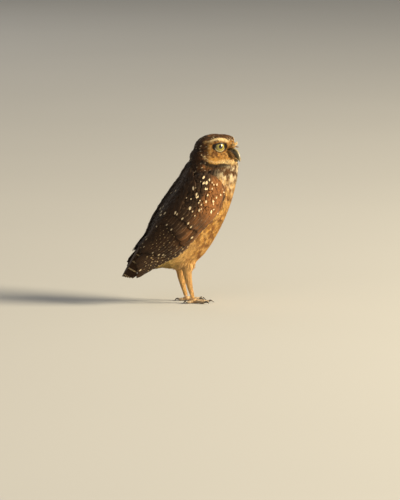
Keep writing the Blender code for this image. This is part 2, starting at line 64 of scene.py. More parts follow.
# The trunk's centre line x, z, back half depth, breast half depth and half width, as in the source.
TRUNK = (
    (36.0, 206.0, 29.0, 35.5, 28.0),
    (31.0, 184.0, 35.0, 40.5, 32.5),
    (21.0, 163.0, 34.5, 45.0, 38.0),
    (9.0, 141.0, 36.5, 48.0, 42.0),
    (-5.0, 117.0, 39.5, 49.0, 43.0),
    (-19.0, 94.0, 40.5, 47.0, 41.0),
    (-35.0, 75.0, 36.5, 38.0, 35.0),
    (-52.0, 62.0, 32.0, 14.5, 27.5),
    (-69.0, 50.0, 28.0, 9.5, 22.5),
    (-86.0, 38.0, 22.0, 8.0, 19.5),
)
HEAD_CENTRE = (39.5, 0.0, 211.0)
HEAD_TURN, HEAD_TILT = -48.0, 2.0
HEAD_CUT, CUT_SLOPE = (36.0, 0.0, 190.0), (-0.12, 0.0, 0.99)
EYE_CENTRE = (10.2, 14.8, 8.0)
EYE_RADIUS, EYE_OUTWARD = 9.2, 36.0
FOOT_X, FOOT_Y = 0.5, 14.5


# Curves and directions

def smoothstep(low, high, value):
    """0 below low, 1 above high and a smooth step between. low may be the larger."""
    t = np.clip((value - low) / (high - low), 0.0, 1.0)
    return t * t * (3 - 2 * t)


def mix(a, b, share):
    share = np.asarray(share)[..., None]
    return np.asarray(a) * (1 - share) + np.asarray(b) * share


def unit(vectors):
    return vectors / np.maximum(np.linalg.norm(vectors, axis=-1, keepdims=True), 1e-9)


def rows_at(table, along):
    """The table's rows at fractional indices, on smooth curves through them."""
    rows = np.array(table, float)
    last = len(rows) - 1
    along = np.clip(np.atleast_1d(np.asarray(along, float)), 0, last)
    i = np.minimum(along.astype(int), last - 1)
    s = (along - i)[:, None]
    padded = np.vstack([2 * rows[0] - rows[1], rows, 2 * rows[-1] - rows[-2]])
    p0, p1, p2, p3 = padded[i], padded[i + 1], padded[i + 2], padded[i + 3]
    square = (2 * p0 - 5 * p1 + 4 * p2 - p3) * s**2
    cube = (3 * p1 - p0 - 3 * p2 + p3) * s**3
    return 0.5 * (2 * p1 + (p2 - p0) * s + square + cube)


def trunk_frame(along):
    """The trunk's rows, its forward directions and its running directions at each along."""
    along = np.asarray(along)
    rows = rows_at(TRUNK, along)
    run = unit(rows_at(TRUNK, along + 0.05)[:, :2] - rows_at(TRUNK, along - 0.05)[:, :2])
    zero = np.zeros(len(rows))
    forward = np.stack([-run[:, 1], zero, run[:, 0]], axis=1)
    return rows, forward, np.stack([run[:, 0], zero, run[:, 1]], axis=1)


def trunk_points(along, around, lift, side):
    """Points over the trunk and the outward direction at each. around is 0 on the breast, 180 behind."""
    shape = np.broadcast(along, around, lift).shape
    spread = (np.broadcast_to(np.asarray(v, float), shape).ravel() for v in (along, around, lift))
    along, around, lift = spread
    rows, forward, _ = trunk_frame(along)
    x, z, back, breast, half_width = rows.T
    c, s = np.cos(np.radians(around)), np.sin(np.radians(around))
    depth = np.where(c > 0, breast, back)
    sideways = np.array((0.0, float(side), 0.0))
    out = unit(forward * (c / depth)[:, None] + sideways * (s / half_width)[:, None])
    centre = np.stack([x, 0 * x, z], axis=1)
    point = centre + forward * (depth * c)[:, None] + sideways * (half_width * s)[:, None]
    point = point + out * lift[:, None]
    return point.reshape(shape + (3,)), out.reshape(shape + (3,))


LINE_STEPS = np.arange(0.05, 8.96, 0.03)
LINE_ROWS, LINE_FORWARD, LINE_RUN = trunk_frame(LINE_STEPS)


def trunk_place(points):
    """along, around in degrees, and the trunk's running direction nearest to each point."""
    flat = points.reshape(-1, 3)
    nearest = np.empty(len(flat), int)
    for start in range(0, len(flat), 20000):
        part = flat[start : start + 20000]
        dx = part[:, None, 0] - LINE_ROWS[None, :, 0]
        dz = part[:, None, 2] - LINE_ROWS[None, :, 1]
        off = np.abs(dx * LINE_RUN[None, :, 0] + dz * LINE_RUN[None, :, 2])
        nearest[start : start + 20000] = np.argmin(off + 0.05 * np.hypot(dx, dz), axis=1)
    rows, forward = LINE_ROWS[nearest], LINE_FORWARD[nearest]
    ahead = (flat[:, 0] - rows[:, 0]) * forward[:, 0] + (flat[:, 2] - rows[:, 1]) * forward[:, 2]
    depth = np.where(ahead > 0, rows[:, 3], rows[:, 2])
    around = np.degrees(np.arctan2(flat[:, 1] / rows[:, 4], ahead / depth))
    shape = points.shape[:-1]
    return LINE_STEPS[nearest].reshape(shape), around.reshape(shape), LINE_RUN[nearest].reshape(points.shape)


def head_axes():
    """The head's forward, left and up directions in the bird's frame, one a row."""
    tilt, turn = math.radians(HEAD_TILT), math.radians(HEAD_TURN)
    forward = (math.cos(tilt) * math.cos(turn), math.cos(tilt) * math.sin(turn), math.sin(tilt))
    left = (-math.sin(turn), math.cos(turn), 0.0)
    return np.array((forward, left, np.cross(forward, left)))


HEAD_AXES = head_axes()


def from_head(points):
    return np.array(HEAD_CENTRE) + np.asarray(points, float) @ HEAD_AXES


def to_head(points):
    return (points - np.array(HEAD_CENTRE)) @ HEAD_AXES.T


def head_place(points):
    """How far forward, to the side and up each point is from the head's centre."""
    local = to_head(points)
    return local[..., 0], np.abs(local[..., 1]), local[..., 2]


def above_cut(points):
    """How far each point is over the cut between the head and the body."""
    return (points - np.array(HEAD_CUT)) @ np.array(CUT_SLOPE)


def eye_centre(side):
    f, l, u = EYE_CENTRE
    return np.array((f, side * l, u))


EYE_LOW, EYE_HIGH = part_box("eye_left")
SHIFT = np.array((EYE_LOW + EYE_HIGH) / 2) - from_head(eye_centre(1)) * MM


def place(points):
    """Points of the bird's own millimetres in the frame's metres."""
    return SHIFT + np.asarray(points, float) * MM


def unplace(points):
    return (np.asarray(points, float) - SHIFT) / MM


def noise(points, size, seed):
    """Smooth random values from 0 to 1 over space, in lumps of about the given size."""
    q = points / size + seed * 17.31
    cell = np.floor(q)
    f = q - cell
    f = f * f * (3 - 2 * f)
    total = 0.0
    for corner in ((a, b, c) for a in (0, 1) for b in (0, 1) for c in (0, 1)):
        spot = cell + corner
        value = np.sin(spot @ np.array((127.1, 311.7, 74.7))) * 43758.5453
        value -= np.floor(value)
        share = np.prod(np.where(np.array(corner) == 1, f, 1 - f), axis=-1)
        total = total + value * share
    return total


# Meshes

def set_values(mesh, name, values):
    """Values on the mesh's points: a colour where there are four, a vector where there are three."""
    kind, field = ("FLOAT_COLOR", "color") if values.shape[1] == 4 else ("FLOAT_VECTOR", "vector")
    data = mesh.attributes.new(name, kind, "POINT").data
    data.foreach_set(field, values.astype(np.float32).ravel())


def add_object(name, points, faces, material, slot, replaced=(), chart=None, tint=None, bars=None, vane=None,
               mark=None):
    """A smooth mesh object from millimetres, with the values that its material reads, riding on the body."""
    mesh = bpy.data.meshes.new(name)
    totals = np.full(len(faces), faces.shape[1])
    corners = faces.ravel()
    mesh.vertices.add(len(points))
    mesh.vertices.foreach_set("co", place(points).astype(np.float32).ravel())
    mesh.loops.add(len(corners))
    mesh.loops.foreach_set("vertex_index", corners.astype(np.int32))
    mesh.polygons.add(len(totals))
    mesh.polygons.foreach_set("loop_start", (np.cumsum(totals) - totals).astype(np.int32))
    mesh.polygons.foreach_set("use_smooth", np.ones(len(totals), bool))
    mesh.update(calc_edges=True)
    if tint is not None:
        tint = np.concatenate([tint, np.ones((len(points), 1))], axis=1)
    for key, values in (("tint", tint), ("bars", bars), ("vane", vane), ("mark", mark)):
        if values is not None:
            set_values(mesh, key, values)
    if chart is not None:
        layer = mesh.uv_layers.new(name="OFBake")
        per_corner = chart[corners] if len(chart) == len(points) else chart
        layer.data.foreach_set("uv", per_corner.astype(np.float32).ravel())
    mesh.materials.append(material)
    obj = bpy.data.objects.new(name, mesh)
    bpy.context.scene.collection.objects.link(obj)
    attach(obj, "root")
    if replaced:
        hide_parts(*replaced)
    return obj


def unmarked(points):
    """The values of a surface in a feather material that has no vanes and no spots."""
    return {"vane": np.zeros((len(points), 3)), "mark": np.zeros((len(points), 4))}


def ring_faces(rings, size):
    """The triangles between closed rings of points, which lie one ring after another."""
    faces = []
    for k in range(rings - 1):
        for j in range(size):
            a, b = k * size + j, k * size + (j + 1) % size
            faces += [(a, b, b + size), (a, b + size, a + size)]
    return faces


def closed_faces(rings, size):
    """The triangles of rings with a fan from the first point over each end."""
    faces = ring_faces(rings, size)
    last = (rings - 1) * size
    for j in range(1, size - 1):
        faces += [(0, j + 1, j), (last, last + j, last + j + 1)]
    return np.array(faces)


def repeated(faces, count, size):
    """The same triangles for each of several forms with size points each."""
    return (faces[None] + (np.arange(count) * size)[:, None, None]).reshape(-1, 3)


def loft(rings):
    """Points and faces of a closed tube over rings of equal count, each end closed from its middle."""
    rings = [np.asarray(r, float) for r in rings]
    count = len(rings[0])
    points = np.concatenate(rings + [rings[0].mean(0)[None], rings[-1].mean(0)[None]])
    faces = ring_faces(len(rings), count)
    first, last = len(points) - 2, len(points) - 1
    end = (len(rings) - 1) * count
    for j in range(count):
        faces += [(first, (j + 1) % count, j), (last, end + j, end + (j + 1) % count)]
    return points, np.array(faces)


def outward(points, faces):
    """The faces turned so that the closed surface looks outwards."""
    a, b, c = points[faces[:, 0]], points[faces[:, 1]], points[faces[:, 2]]
    volume = np.einsum("ij,ij->i", a, np.cross(b, c)).sum()
    return faces if volume > 0 else faces[:, ::-1]


def joined(pieces):
    """One mesh from several (points, faces) pairs."""
    points, faces, start = [], [], 0
    for p, f in pieces:
        points.append(p)
        faces.append(np.asarray(f) + start)
        start += len(p)
    return np.concatenate(points), np.concatenate(faces)


# Materials

class Nodes:
    """Short names for building one material's node tree."""

    def __init__(self, name, roughness, **constants):
        self.material = bpy.data.materials.new(name)
        self.material.use_nodes = True
        self.tree = self.material.node_tree
        self.shader = self.tree.nodes["Principled BSDF"]
        self.shader.inputs["Roughness"].default_value = roughness
        for key, value in constants.items():
            self.shader.inputs[key.replace("_", " ")].default_value = value

    def add(self, kind, inputs=None, **settings):
        node = self.tree.nodes.new(kind)
        for key, value in settings.items():
            setattr(node, key, value)
        for key, value in (inputs or {}).items():
            self.set(node.inputs[key], value)
        return node

    def set(self, socket, value):
        if isinstance(value, bpy.types.NodeSocket):
            self.tree.links.new(value, socket)
        elif value is not None:
            socket.default_value = value

    def math(self, operation, a, b=None, clamp=False):
        node = self.add("ShaderNodeMath", {0: a, 1: b}, operation=operation)
        node.use_clamp = clamp
        return node.outputs[0]

    def step(self, value, low, high, to_low=0.0, to_high=1.0):
        """A smooth step of the value from one level to another."""
        node = self.add("ShaderNodeMapRange", {0: value, 1: low, 2: high, 3: to_low, 4: to_high})
        node.interpolation_type = "SMOOTHSTEP"
        return node.outputs[0]

    def mix(self, share, a, b, blend="MIX"):
        node = self.add("ShaderNodeMix", data_type="RGBA", blend_type=blend)
        self.set(node.inputs[0], share)
        for socket, value in ((node.inputs[6], a), (node.inputs[7], b)):
            self.set(socket, value if isinstance(value, bpy.types.NodeSocket) else (*value, 1.0))
        return node.outputs[2]

    def attribute(self, name, output="Color"):
        return self.add("ShaderNodeAttribute", attribute_name=name).outputs[output]

    def noise(self, size_mm, detail=2.0):
        """Noise with lumps of the given size in millimetres, the same in every view."""
        spot = self.add("ShaderNodeTexCoord").outputs["Object"]
        inputs = {"Vector": spot, "Scale": 1000.0 / size_mm, "Detail": detail}
        return self.add("ShaderNodeTexNoise", inputs).outputs["Fac"]

    def split(self, vector):
        return self.add("ShaderNodeSeparateXYZ", {0: vector}).outputs

    def finish(self, colour, height=None, depth_mm=0.2, strength=0.6):
        self.set(self.shader.inputs["Base Color"], colour)
        if height is not None:
            inputs = {"Strength": strength, "Distance": depth_mm * MM, "Height": height}
            bump = self.add("ShaderNodeBump", inputs)
            self.set(self.shader.inputs["Normal"], bump.outputs[0])
        return self.material


def feather_material(name, shaft, relief, barb_mm=0.45, mottle=0.25, contrast=1.0, barred=False):
    """Barbs slanting from a fine shaft over the feather's own tint, with its pale spots and bars."""
    n = Nodes(name, 0.72, Sheen_Weight=0.05, Sheen_Roughness=0.6, Specular_IOR_Level=0.16)
    across, along, chance = n.split(n.attribute("vane", "Vector"))
    away = n.math("ABSOLUTE", across)
    slant = n.math("SUBTRACT", along, n.math("MULTIPLY", away, 1.1))
    barbs = n.math("SINE", n.math("MULTIPLY", slant, 2 * math.pi / barb_mm))
    speck = n.noise(1.3, 3.0)
    blotch = n.noise(4.5, 2.0)
    colour = n.attribute("tint")
    dark = n.mix(1.0, colour, mix((1.0, 1.0, 1.0), (0.58, 0.53, 0.48), contrast), "MULTIPLY")
    light = n.mix(1.0, colour, mix((1.0, 1.0, 1.0), (1.32, 1.28, 1.22), contrast), "MULTIPLY")
    uneven = n.math("ADD", n.math("MULTIPLY", speck, 0.6), n.math("MULTIPLY", blotch, 0.4))
    uneven = n.math("ADD", uneven, n.math("MULTIPLY", n.math("SUBTRACT", chance, 0.5), 0.2))
    varied = n.mix(n.step(uneven, 0.5 - mottle, 0.5 + mottle), dark, light)
    varied = n.mix(n.step(barbs, -1.0, 1.0, 0.0, 0.20), varied, dark)
    varied = n.mix(n.step(away, 0.32, 0.12, 0.0, shaft), varied, dark)
    wobble = n.math("MULTIPLY", n.math("SUBTRACT", speck, 0.5), 1.6)
    if barred:
        bars = n.add("ShaderNodeAttribute", attribute_name="bars")
        period, middle, reach = n.split(bars.outputs["Vector"])
        turn = n.math("ADD", n.math("DIVIDE", along, period), chance)
        off = n.math("ABSOLUTE", n.math("SUBTRACT", n.math("FRACT", turn), 0.5))
        off = n.math("ADD", n.math("MULTIPLY", off, period), wobble)
        beside = n.math("SUBTRACT", n.math("ABSOLUTE", n.math("SUBTRACT", across, middle)), reach)
        bar = n.math("MULTIPLY", n.step(off, 1.15, 0.55), n.step(n.math("ADD", beside, wobble), 0.5, -0.3))
        varied = n.mix(n.math("MULTIPLY", bar, bars.outputs["Alpha"]), varied, (0.60, 0.43, 0.22))
    mark = n.add("ShaderNodeAttribute", attribute_name="mark")
    place_along, place_across, size = n.split(mark.outputs["Vector"])
    dx = n.math("SUBTRACT", across, place_across)
    dy = n.math("MULTIPLY", n.math("SUBTRACT", along, place_along), 0.42)
    distance = n.math("SQRT", n.math("ADD", n.math("MULTIPLY", dx, dx), n.math("MULTIPLY", dy, dy)))
    reach = n.math("SUBTRACT", size, n.math("ADD", distance, wobble))
    spot = n.math("MULTIPLY", n.step(reach, -0.35, 0.35), mark.outputs["Alpha"], clamp=True)
    varied = n.mix(spot, varied, (0.80, 0.65, 0.42))
    height = n.math("ADD", n.math("MULTIPLY", barbs, 0.35), n.math("MULTIPLY", speck, 0.9))
    return n.finish(varied, height, 0.15, relief)


# Colours, worked out from a feather's place on the bird

DARK = (0.019, 0.0100, 0.0048)
BROWN = (0.060, 0.028, 0.0100)
RUFOUS = (0.215, 0.088, 0.024)
OCHRE = (0.70, 0.39, 0.090)
BUFF = (0.72, 0.47, 0.180)
CREAM = (0.86, 0.68, 0.38)
WHITE = (0.88, 0.76, 0.54)
ORANGE = (0.60, 0.31, 0.075)
BAR = (0.20, 0.085, 0.024)
OLIVE = (0.50, 0.36, 0.120)
PEACH = (0.72, 0.43, 0.180)

# Lines on the face, in the head's forward, side and up directions.
BROW = (
    (4.5, 24.8, 16.8), (12.0, 20.5, 19.0), (19.0, 15.8, 18.2),
    (25.0, 11.2, 15.4), (29.5, 6.5, 10.8), (32.0, 3.6, 6.0),
)
REAR_BROW = ((6.7, 25.0, 15.9), (1.0, 26.2, 16.2), (-5.5, 26.6, 15.0))
LORE = ((21.5, 14.5, 8.5), (25.5, 9.2, 4.5), (28.5, 6.2, 0.5))
BEHIND_EYE = ((9.5, 29.5, 9.5), (3.0, 30.6, 9.5), (-3.0, 31.0, 8.0))
RIM = (
    (-3.4, 34.3, -3.5), (0.7, 33.2, -8.3), (6.0, 31.4, -10.9),
    (12.2, 28.4, -13.0), (17.8, 23.9, -12.6), (24.0, 15.5, -14.0),
)
COLLAR = (
    (-4.0, 35.4, -12.0), (2.0, 34.8, -14.6), (8.0, 33.0, -17.2),
    (14.0, 28.5, -18.2), (20.0, 21.5, -17.6), (25.0, 10.5, -19.5),
)


def line_distance(points, line):
    """How far each point is from a line through the given places, and how far along the line it lies."""
    best, where = np.full(points.shape[:-1], 1e9), np.zeros(points.shape[:-1])
    line = np.array(line, float)
    for k, (a, b) in enumerate(zip(line[:-1], line[1:])):
        t = np.clip(((points - a) @ (b - a)) / ((b - a) @ (b - a)), 0, 1)
        d = np.linalg.norm(points - (a + t[..., None] * (b - a)), axis=-1)
        closer = d < best
        best = np.where(closer, d, best)
        where = np.where(closer, (k + t) / (len(line) - 1), where)
    return best, where


def head_colour(points):
    f, l, u = head_place(points)
    folded = np.stack([f, l, u], axis=-1)
    fine = noise(points, 2.2, 3)
    coarse = noise(points, 6.0, 4)
    crown = mix(BROWN, RUFOUS, smoothstep(0.30, 0.75, fine) * 0.85)
    crown = mix(crown, DARK, smoothstep(2.0, -16.0, f) * 0.8)
    face = mix(ORANGE, BAR, smoothstep(0.38, 0.64, fine * 0.6 + coarse * 0.4))
    face = mix(face, BUFF, smoothstep(0.55, 0.8, noise(points, 3.0, 8)) * 0.6)
    face = mix(face, OCHRE, smoothstep(-5.0, -10.0, u) * 0.55)
    on_face = smoothstep(-4.0, 4.0, f + 0.15 * (15 - l)) * smoothstep(17.0, 12.5, u) * smoothstep(-21, -16, u)
    colour = mix(crown, face, on_face)
    chin = smoothstep(14.0, 20.0, f) * smoothstep(-9.0, -12.0, u) * smoothstep(-22.0, -16.0, u)
    colour = mix(colour, CREAM, chin * 0.65)
    for line, start, end, paint, strength in (
        (REAR_BROW, 2.8, 2.2, BUFF, 0.7),
        (BEHIND_EYE, 3.0, 2.4, DARK, 0.4),
        (RIM, 1.4, 2.1, CREAM, 0.85),
        (COLLAR, 3.4, 2.6, DARK, 0.95),
        (LORE, 2.6, 2.2, BROWN, 0.9),
        (BROW, 2.3, 4.2, CREAM, 1.0),
    ):
        distance, where = line_distance(folded, line)
        width = start + (end - start) * where
        ragged = width * (0.75 + 0.5 * fine)
        colour = mix(colour, paint, smoothstep(ragged + 0.7, ragged - 0.7, distance) * strength)
    off, turn = lid_off(points)
    corner = np.maximum(smoothstep(0.85, 1.0, np.cos(turn)) * 1.8, smoothstep(0.80, 1.0, -np.cos(turn)) * 2.2)
    height = np.linalg.norm(folded - eye_centre(1), axis=-1) - EYE_RADIUS
    rim = (1.7 + corner) * smoothstep(5.5, 1.5, height) - 0.5 * smoothstep(0.0, -1.0, np.sin(turn))
    ringed = smoothstep(rim + 1.0, rim - 0.4, off + 0.8 * (fine - 0.5)) * (rim > 0.3)
    colour = mix(colour, (0.022, 0.013, 0.008), ringed)
    inner = smoothstep(6.5, 3.0, np.linalg.norm(folded - np.array((31.5, 4.5, 9.0)), axis=-1))
    return mix(colour, ORANGE, inner * 0.45)


def body_colour(points):
    along, around, _ = trunk_place(points)
    around = np.abs(around)
    z = points[..., 2]
    fine, coarse = noise(points, 2.6, 5), noise(points, 7.0, 6)
    back = mix(DARK, BROWN, 0.35 * coarse + 0.25 * fine)
    under = mix(OCHRE, BUFF, 0.75 * smoothstep(0.3, 0.7, noise(points, 4.5, 12)))
    upper = smoothstep(135.0, 172.0, z)
    under = mix(under, CREAM, upper * 0.35)
    stroke = noise(points * np.array((1.0, 1.0, 0.55)), 3.4, 13)
    under = mix(under, WHITE, upper * smoothstep(0.50, 0.64, stroke))
    flank = smoothstep(4.3, 5.2, along) * smoothstep(45.0, 70.0, around)
    under = mix(under, BUFF, flank * 0.7)
    under = mix(under, OLIVE, smoothstep(5.9, 6.8, along) * 0.85)
    shifted = along * 3.7 + 1.3 * (coarse - 0.5) + 0.045 * noise(points, 11.0, 9) * around
    wave = np.sin(2 * math.pi * shifted)
    blotch = noise(points * np.array((0.85, 0.85, 1.2)), 3.9, 7)
    bars = smoothstep(0.05, 0.45, 0.4 * wave + 3.2 * (blotch - 0.5))
    strength = smoothstep(6.6, 5.4, along) * (1 - 0.5 * flank)
    under = mix(under, (0.25, 0.10, 0.024), bars * strength * 0.95)
    colour = mix(under, back, smoothstep(84.0, 98.0, around))
    throat = smoothstep(1.45, 1.0, along)
    streak = smoothstep(0.53, 0.63, noise(points * np.array((0.65, 0.65, 1.5)), 3.8, 10))
    neck = mix((0.15, 0.068, 0.024), WHITE, streak)
    neck = mix(neck, DARK, smoothstep(70.0, 105.0, around))
    return mix(colour, neck, throat)


def leg_colour(points):
    fine = noise(points, 2.0, 11)
    return mix(PEACH, BUFF, smoothstep(0.3, 0.7, fine))


def coat_colour(points):
    """The coat's colour at any place on the bird."""
    above = above_cut(points)
    head_share = smoothstep(-3.0, 3.0, above)
    colour = mix(body_colour(points), head_colour(points), head_share)
    return mix(colour, leg_colour(points), smoothstep(66.0, 52.0, points[..., 2]) * (points[..., 0] > -24))


# The skin

FLESH = ("head", "neck", "torso", "thigh_left", "thigh_right", "tarsus_left", "tarsus_right")
SKIN_GROW = 0.45
SKIN_VOXEL = 1.15


def coat_depth(points):
    """How far under the solids' surface the skin lies."""
    above = above_cut(points)
    f, l, u = head_place(points)
    eye = np.linalg.norm(np.stack([f, l, u], -1) - eye_centre(1), axis=-1)
    head = 0.5 + 1.3 * smoothstep(11.0, 22.0, eye) * smoothstep(26.0, 10.0, f)
    depth = np.where(above > 0, head, 2.9)
    depth = depth + (above > -8) * (above <= 0) * (head - 2.9) * smoothstep(-8.0, 0.0, above)
    legs = smoothstep(60.0, 46.0, points[..., 2]) * (points[..., 0] > -24)
    return depth * (1 - legs) + 0.75 * legs + SKIN_GROW


def remeshed(names, grow, voxel, smoothing):
    """One even surface round the named nodes, in millimetres: its points, directions and faces."""
    bm = bmesh.new()
    for name in names:
        bm.from_mesh(NODES[name].data)
    bmesh.ops.remove_doubles(bm, verts=bm.verts, dist=1e-6)
    bmesh.ops.recalc_face_normals(bm, faces=bm.faces)
    bm.normal_update()
    moved = [v.co + v.normal * (grow * MM) for v in bm.verts]
    for v, co in zip(bm.verts, moved):
        v.co = co
    mesh = bpy.data.meshes.new("rough")
    bm.to_mesh(mesh)
    bm.free()
    rough = bpy.data.objects.new("rough", mesh)
    bpy.context.scene.collection.objects.link(rough)
    remesh = rough.modifiers.new("remesh", "REMESH")
    remesh.mode = "VOXEL"
    remesh.voxel_size = voxel * MM
    smooth = rough.modifiers.new("smooth", "SMOOTH")
    smooth.factor = 0.5
    smooth.iterations = smoothing
    bpy.context.view_layer.update()
    even = bpy.data.meshes.new_from_object(rough.evaluated_get(bpy.context.evaluated_depsgraph_get()))
    bpy.data.objects.remove(rough)
    points = unplace(np.array([v.co for v in even.vertices]))
    normals = np.array([v.normal for v in even.vertices])
    faces = np.array([p.vertices for p in even.polygons])
    bpy.data.meshes.remove(even)
    return points, normals, faces


def make_skin():
    """One surface over the flesh, closed over the gaps between its nodes and drawn in by the coat's depth."""
    points, normals, faces = remeshed(FLESH, SKIN_GROW, SKIN_VOXEL, 5)
    points = points - normals * coat_depth(points)[:, None]
    for _, side in SIDES:
        points = open_eye(points, side)
    return points, faces


LID_WIDE, LID_LOW, LID_HIGH = 7.1, 6.2, 3.5


def eye_axes(side):
    """The directions across, up and out of an eye, in the head's own directions."""
    out = math.radians(EYE_OUTWARD)
    look = np.array((math.cos(out), side * math.sin(out), 0.0))
    up = np.array((0.0, 0.0, 1.0))
    return np.cross(up, look) * side, up, look


def lid_curve(turn, grow=0.0):
    """The lids' opening: rounded below and flatter above, in mm round the line of sight."""
    x = (LID_WIDE + grow) * np.cos(turn)
    low = -(LID_LOW + grow) * np.abs(np.sin(turn))
    high = (LID_HIGH + grow) * np.abs(np.sin(turn)) ** 0.62
    return x, np.where(np.sin(turn) < 0, low, high)


def lid_off(points, sides=(1, -1)):
    """How far each point is outside the nearer eye's lids, in mm over the eyeball, and its turn there."""
    table = np.radians(np.arange(0.5, 360.0, 1.0))
    x, y = lid_curve(table)
    turns = np.arctan2(y, x) % (2 * math.pi)
    order = np.argsort(turns)
    turns, edges = turns[order], np.arcsin(np.hypot(x, y)[order] / EYE_RADIUS)
    off, where = np.full(points.shape[:-1], 99.0), np.zeros(points.shape[:-1])
    for side in sides:
        away = to_head(points) - eye_centre(side)
        distance = np.linalg.norm(away, axis=-1)
        seen = unit(away) @ np.stack(eye_axes(side)).T
        turn = np.arctan2(seen[..., 1], seen[..., 0])
        edge = np.interp(turn % (2 * math.pi), turns, edges, period=2 * math.pi)
        outside = (np.arccos(np.clip(seen[..., 2], -1, 1)) - edge) * EYE_RADIUS
        closer = (distance < 27.0) & (side * to_head(points)[..., 1] > 0) & (outside < off)
        off, where = np.where(closer, outside, off), np.where(closer, turn, where)
    return off, where


def open_eye(points, side):
    """The skin's points sunk behind the eyeball inside the lids, and lying close over it round them."""
    centre = from_head(eye_centre(side))
    away = points - centre
    distance = np.linalg.norm(away, axis=1)
    off, _ = lid_off(points, (side,))
    own = smoothstep(0.0, 4.0, side * to_head(points)[:, 1]) * (distance < 27.0)
    pull = smoothstep(6.5, 0.6, off) * own
    target = np.maximum(distance + (EYE_RADIUS + 0.35 - distance) * pull, EYE_RADIUS + 0.3)
    target = np.where((off < 0.25) & (own > 0.5), EYE_RADIUS - 2.0, target)
    return centre + unit(away) * target[:, None]


def thin_out(points, gaps):
    """Which of the points to keep, in their order, so that none lies within its gap of one kept before."""
    cell = gaps.max()
    cells = np.floor(points / cell).astype(int).tolist()
    grid, kept = {}, []
    around = [(x, y, z) for x in (-1, 0, 1) for y in (-1, 0, 1) for z in (-1, 0, 1)]
    for k, ((x, y, z), (px, py, pz), gap) in enumerate(zip(cells, points.tolist(), gaps.tolist())):
        limit = gap * gap
        near = (q for dx, dy, dz in around for q in grid.get((x + dx, y + dy, z + dz), ()))
        if all((px - qx) ** 2 + (py - qy) ** 2 + (pz - qz) ** 2 >= limit for qx, qy, qz in near):
            grid.setdefault((x, y, z), []).append((px, py, pz))
            kept.append(k)
    return kept


class Skin:
    """The skin's points, with quick answers to where the nearest skin is."""

    def __init__(self, points, faces):
        self.points = points
        self.triangles = np.concatenate([faces[:, [0, 1, 2]], faces[:, [0, 2, 3]]])
        corners = points[self.triangles]
        across = np.cross(corners[:, 1] - corners[:, 0], corners[:, 2] - corners[:, 0])
        self.areas = np.linalg.norm(across, axis=1) / 2
        normals = np.zeros_like(points)
        for k in range(3):
            np.add.at(normals, self.triangles[:, k], across)
        self.normals = unit(normals)
        self.tree = BVHTree.FromPolygons([Vector(p) for p in points], self.triangles.tolist())

    def snap(self, points):
        """The nearest places on the skin and its smooth directions there."""
        shape = points.shape
        found = np.empty((points.size // 3, 3))
        index = np.empty(points.size // 3, int)
        for k, point in enumerate(points.reshape(-1, 3)):
            found[k], _, index[k], _ = self.tree.find_nearest(point)
        corners = self.triangles[index]
        weights = 1.0 / (np.linalg.norm(self.points[corners] - found[:, None], axis=2) + 0.15)
        normals = unit((self.normals[corners] * weights[..., None]).sum(1))
        return found.reshape(shape), normals.reshape(shape)

    def scatter(self, spacing, candidates, seed):
        """Roots spread evenly, spacing(points) mm apart; none where it is 0."""
        rng = np.random.default_rng(seed)
        wanted = spacing(self.points[self.triangles].mean(1)) > 0
        triangles = self.triangles[wanted]
        areas = self.areas[wanted]
        pick = rng.choice(len(triangles), candidates, p=areas / areas.sum())
        a, b = rng.random(candidates), rng.random(candidates)
        flip = a + b > 1
        a, b = np.where(flip, 1 - a, a), np.where(flip, 1 - b, b)
        first, second, third = self.points[triangles[pick]].transpose(1, 0, 2)
        points = first + a[:, None] * (second - first) + b[:, None] * (third - first)
        gaps = spacing(points)
        points, gaps = points[gaps > 0], gaps[gaps > 0]
        return points[thin_out(points, gaps)]


# The unwrap that the skin and its coat share

LEG_TOP = 57.0


def chart(points, centres):
    """Places on the unwrapped skin. centres says which stretch each point belongs to."""
    above = above_cut(centres) > 0
    leg = (centres[:, 2] < LEG_TOP) & (centres[:, 0] > -24) & ~above
    along, around, _ = trunk_place(points)
    _, around_centre, _ = trunk_place(centres)
    local, local_centre = to_head(points), to_head(centres)
    turn = np.degrees(np.arctan2(local[:, 1], local[:, 0]))
    turn_centre = np.degrees(np.arctan2(local_centre[:, 1], local_centre[:, 0]))
    polar = np.degrees(np.arccos(np.clip(unit(local)[:, 2], -1, 1)))
    side = np.sign(centres[:, 1])
    leg_turn = np.degrees(np.arctan2(points[:, 1] - side * FOOT_Y, points[:, 0] + 6))
    leg_centre = np.degrees(np.arctan2(centres[:, 1] - side * FOOT_Y, centres[:, 0] + 6))

    def near(angle, reference):
        return reference + (angle - reference + 180) % 360 - 180

    trunk_uv = np.stack([0.5 + near(around, around_centre) / 380, 0.26 + 0.34 * along / 9], axis=1)
    head_uv = np.stack([0.5 + near(turn, turn_centre) / 380, 0.98 - 0.36 * polar / 180], axis=1)
    leg_u = np.where(side > 0, 0.25, 0.75) + near(leg_turn, leg_centre) / 800
    leg_uv = np.stack([leg_u, 0.02 + 0.2 * points[:, 2] / LEG_TOP], axis=1)
    return np.where(above[:, None], head_uv, np.where(leg[:, None], leg_uv, trunk_uv))


# The coat

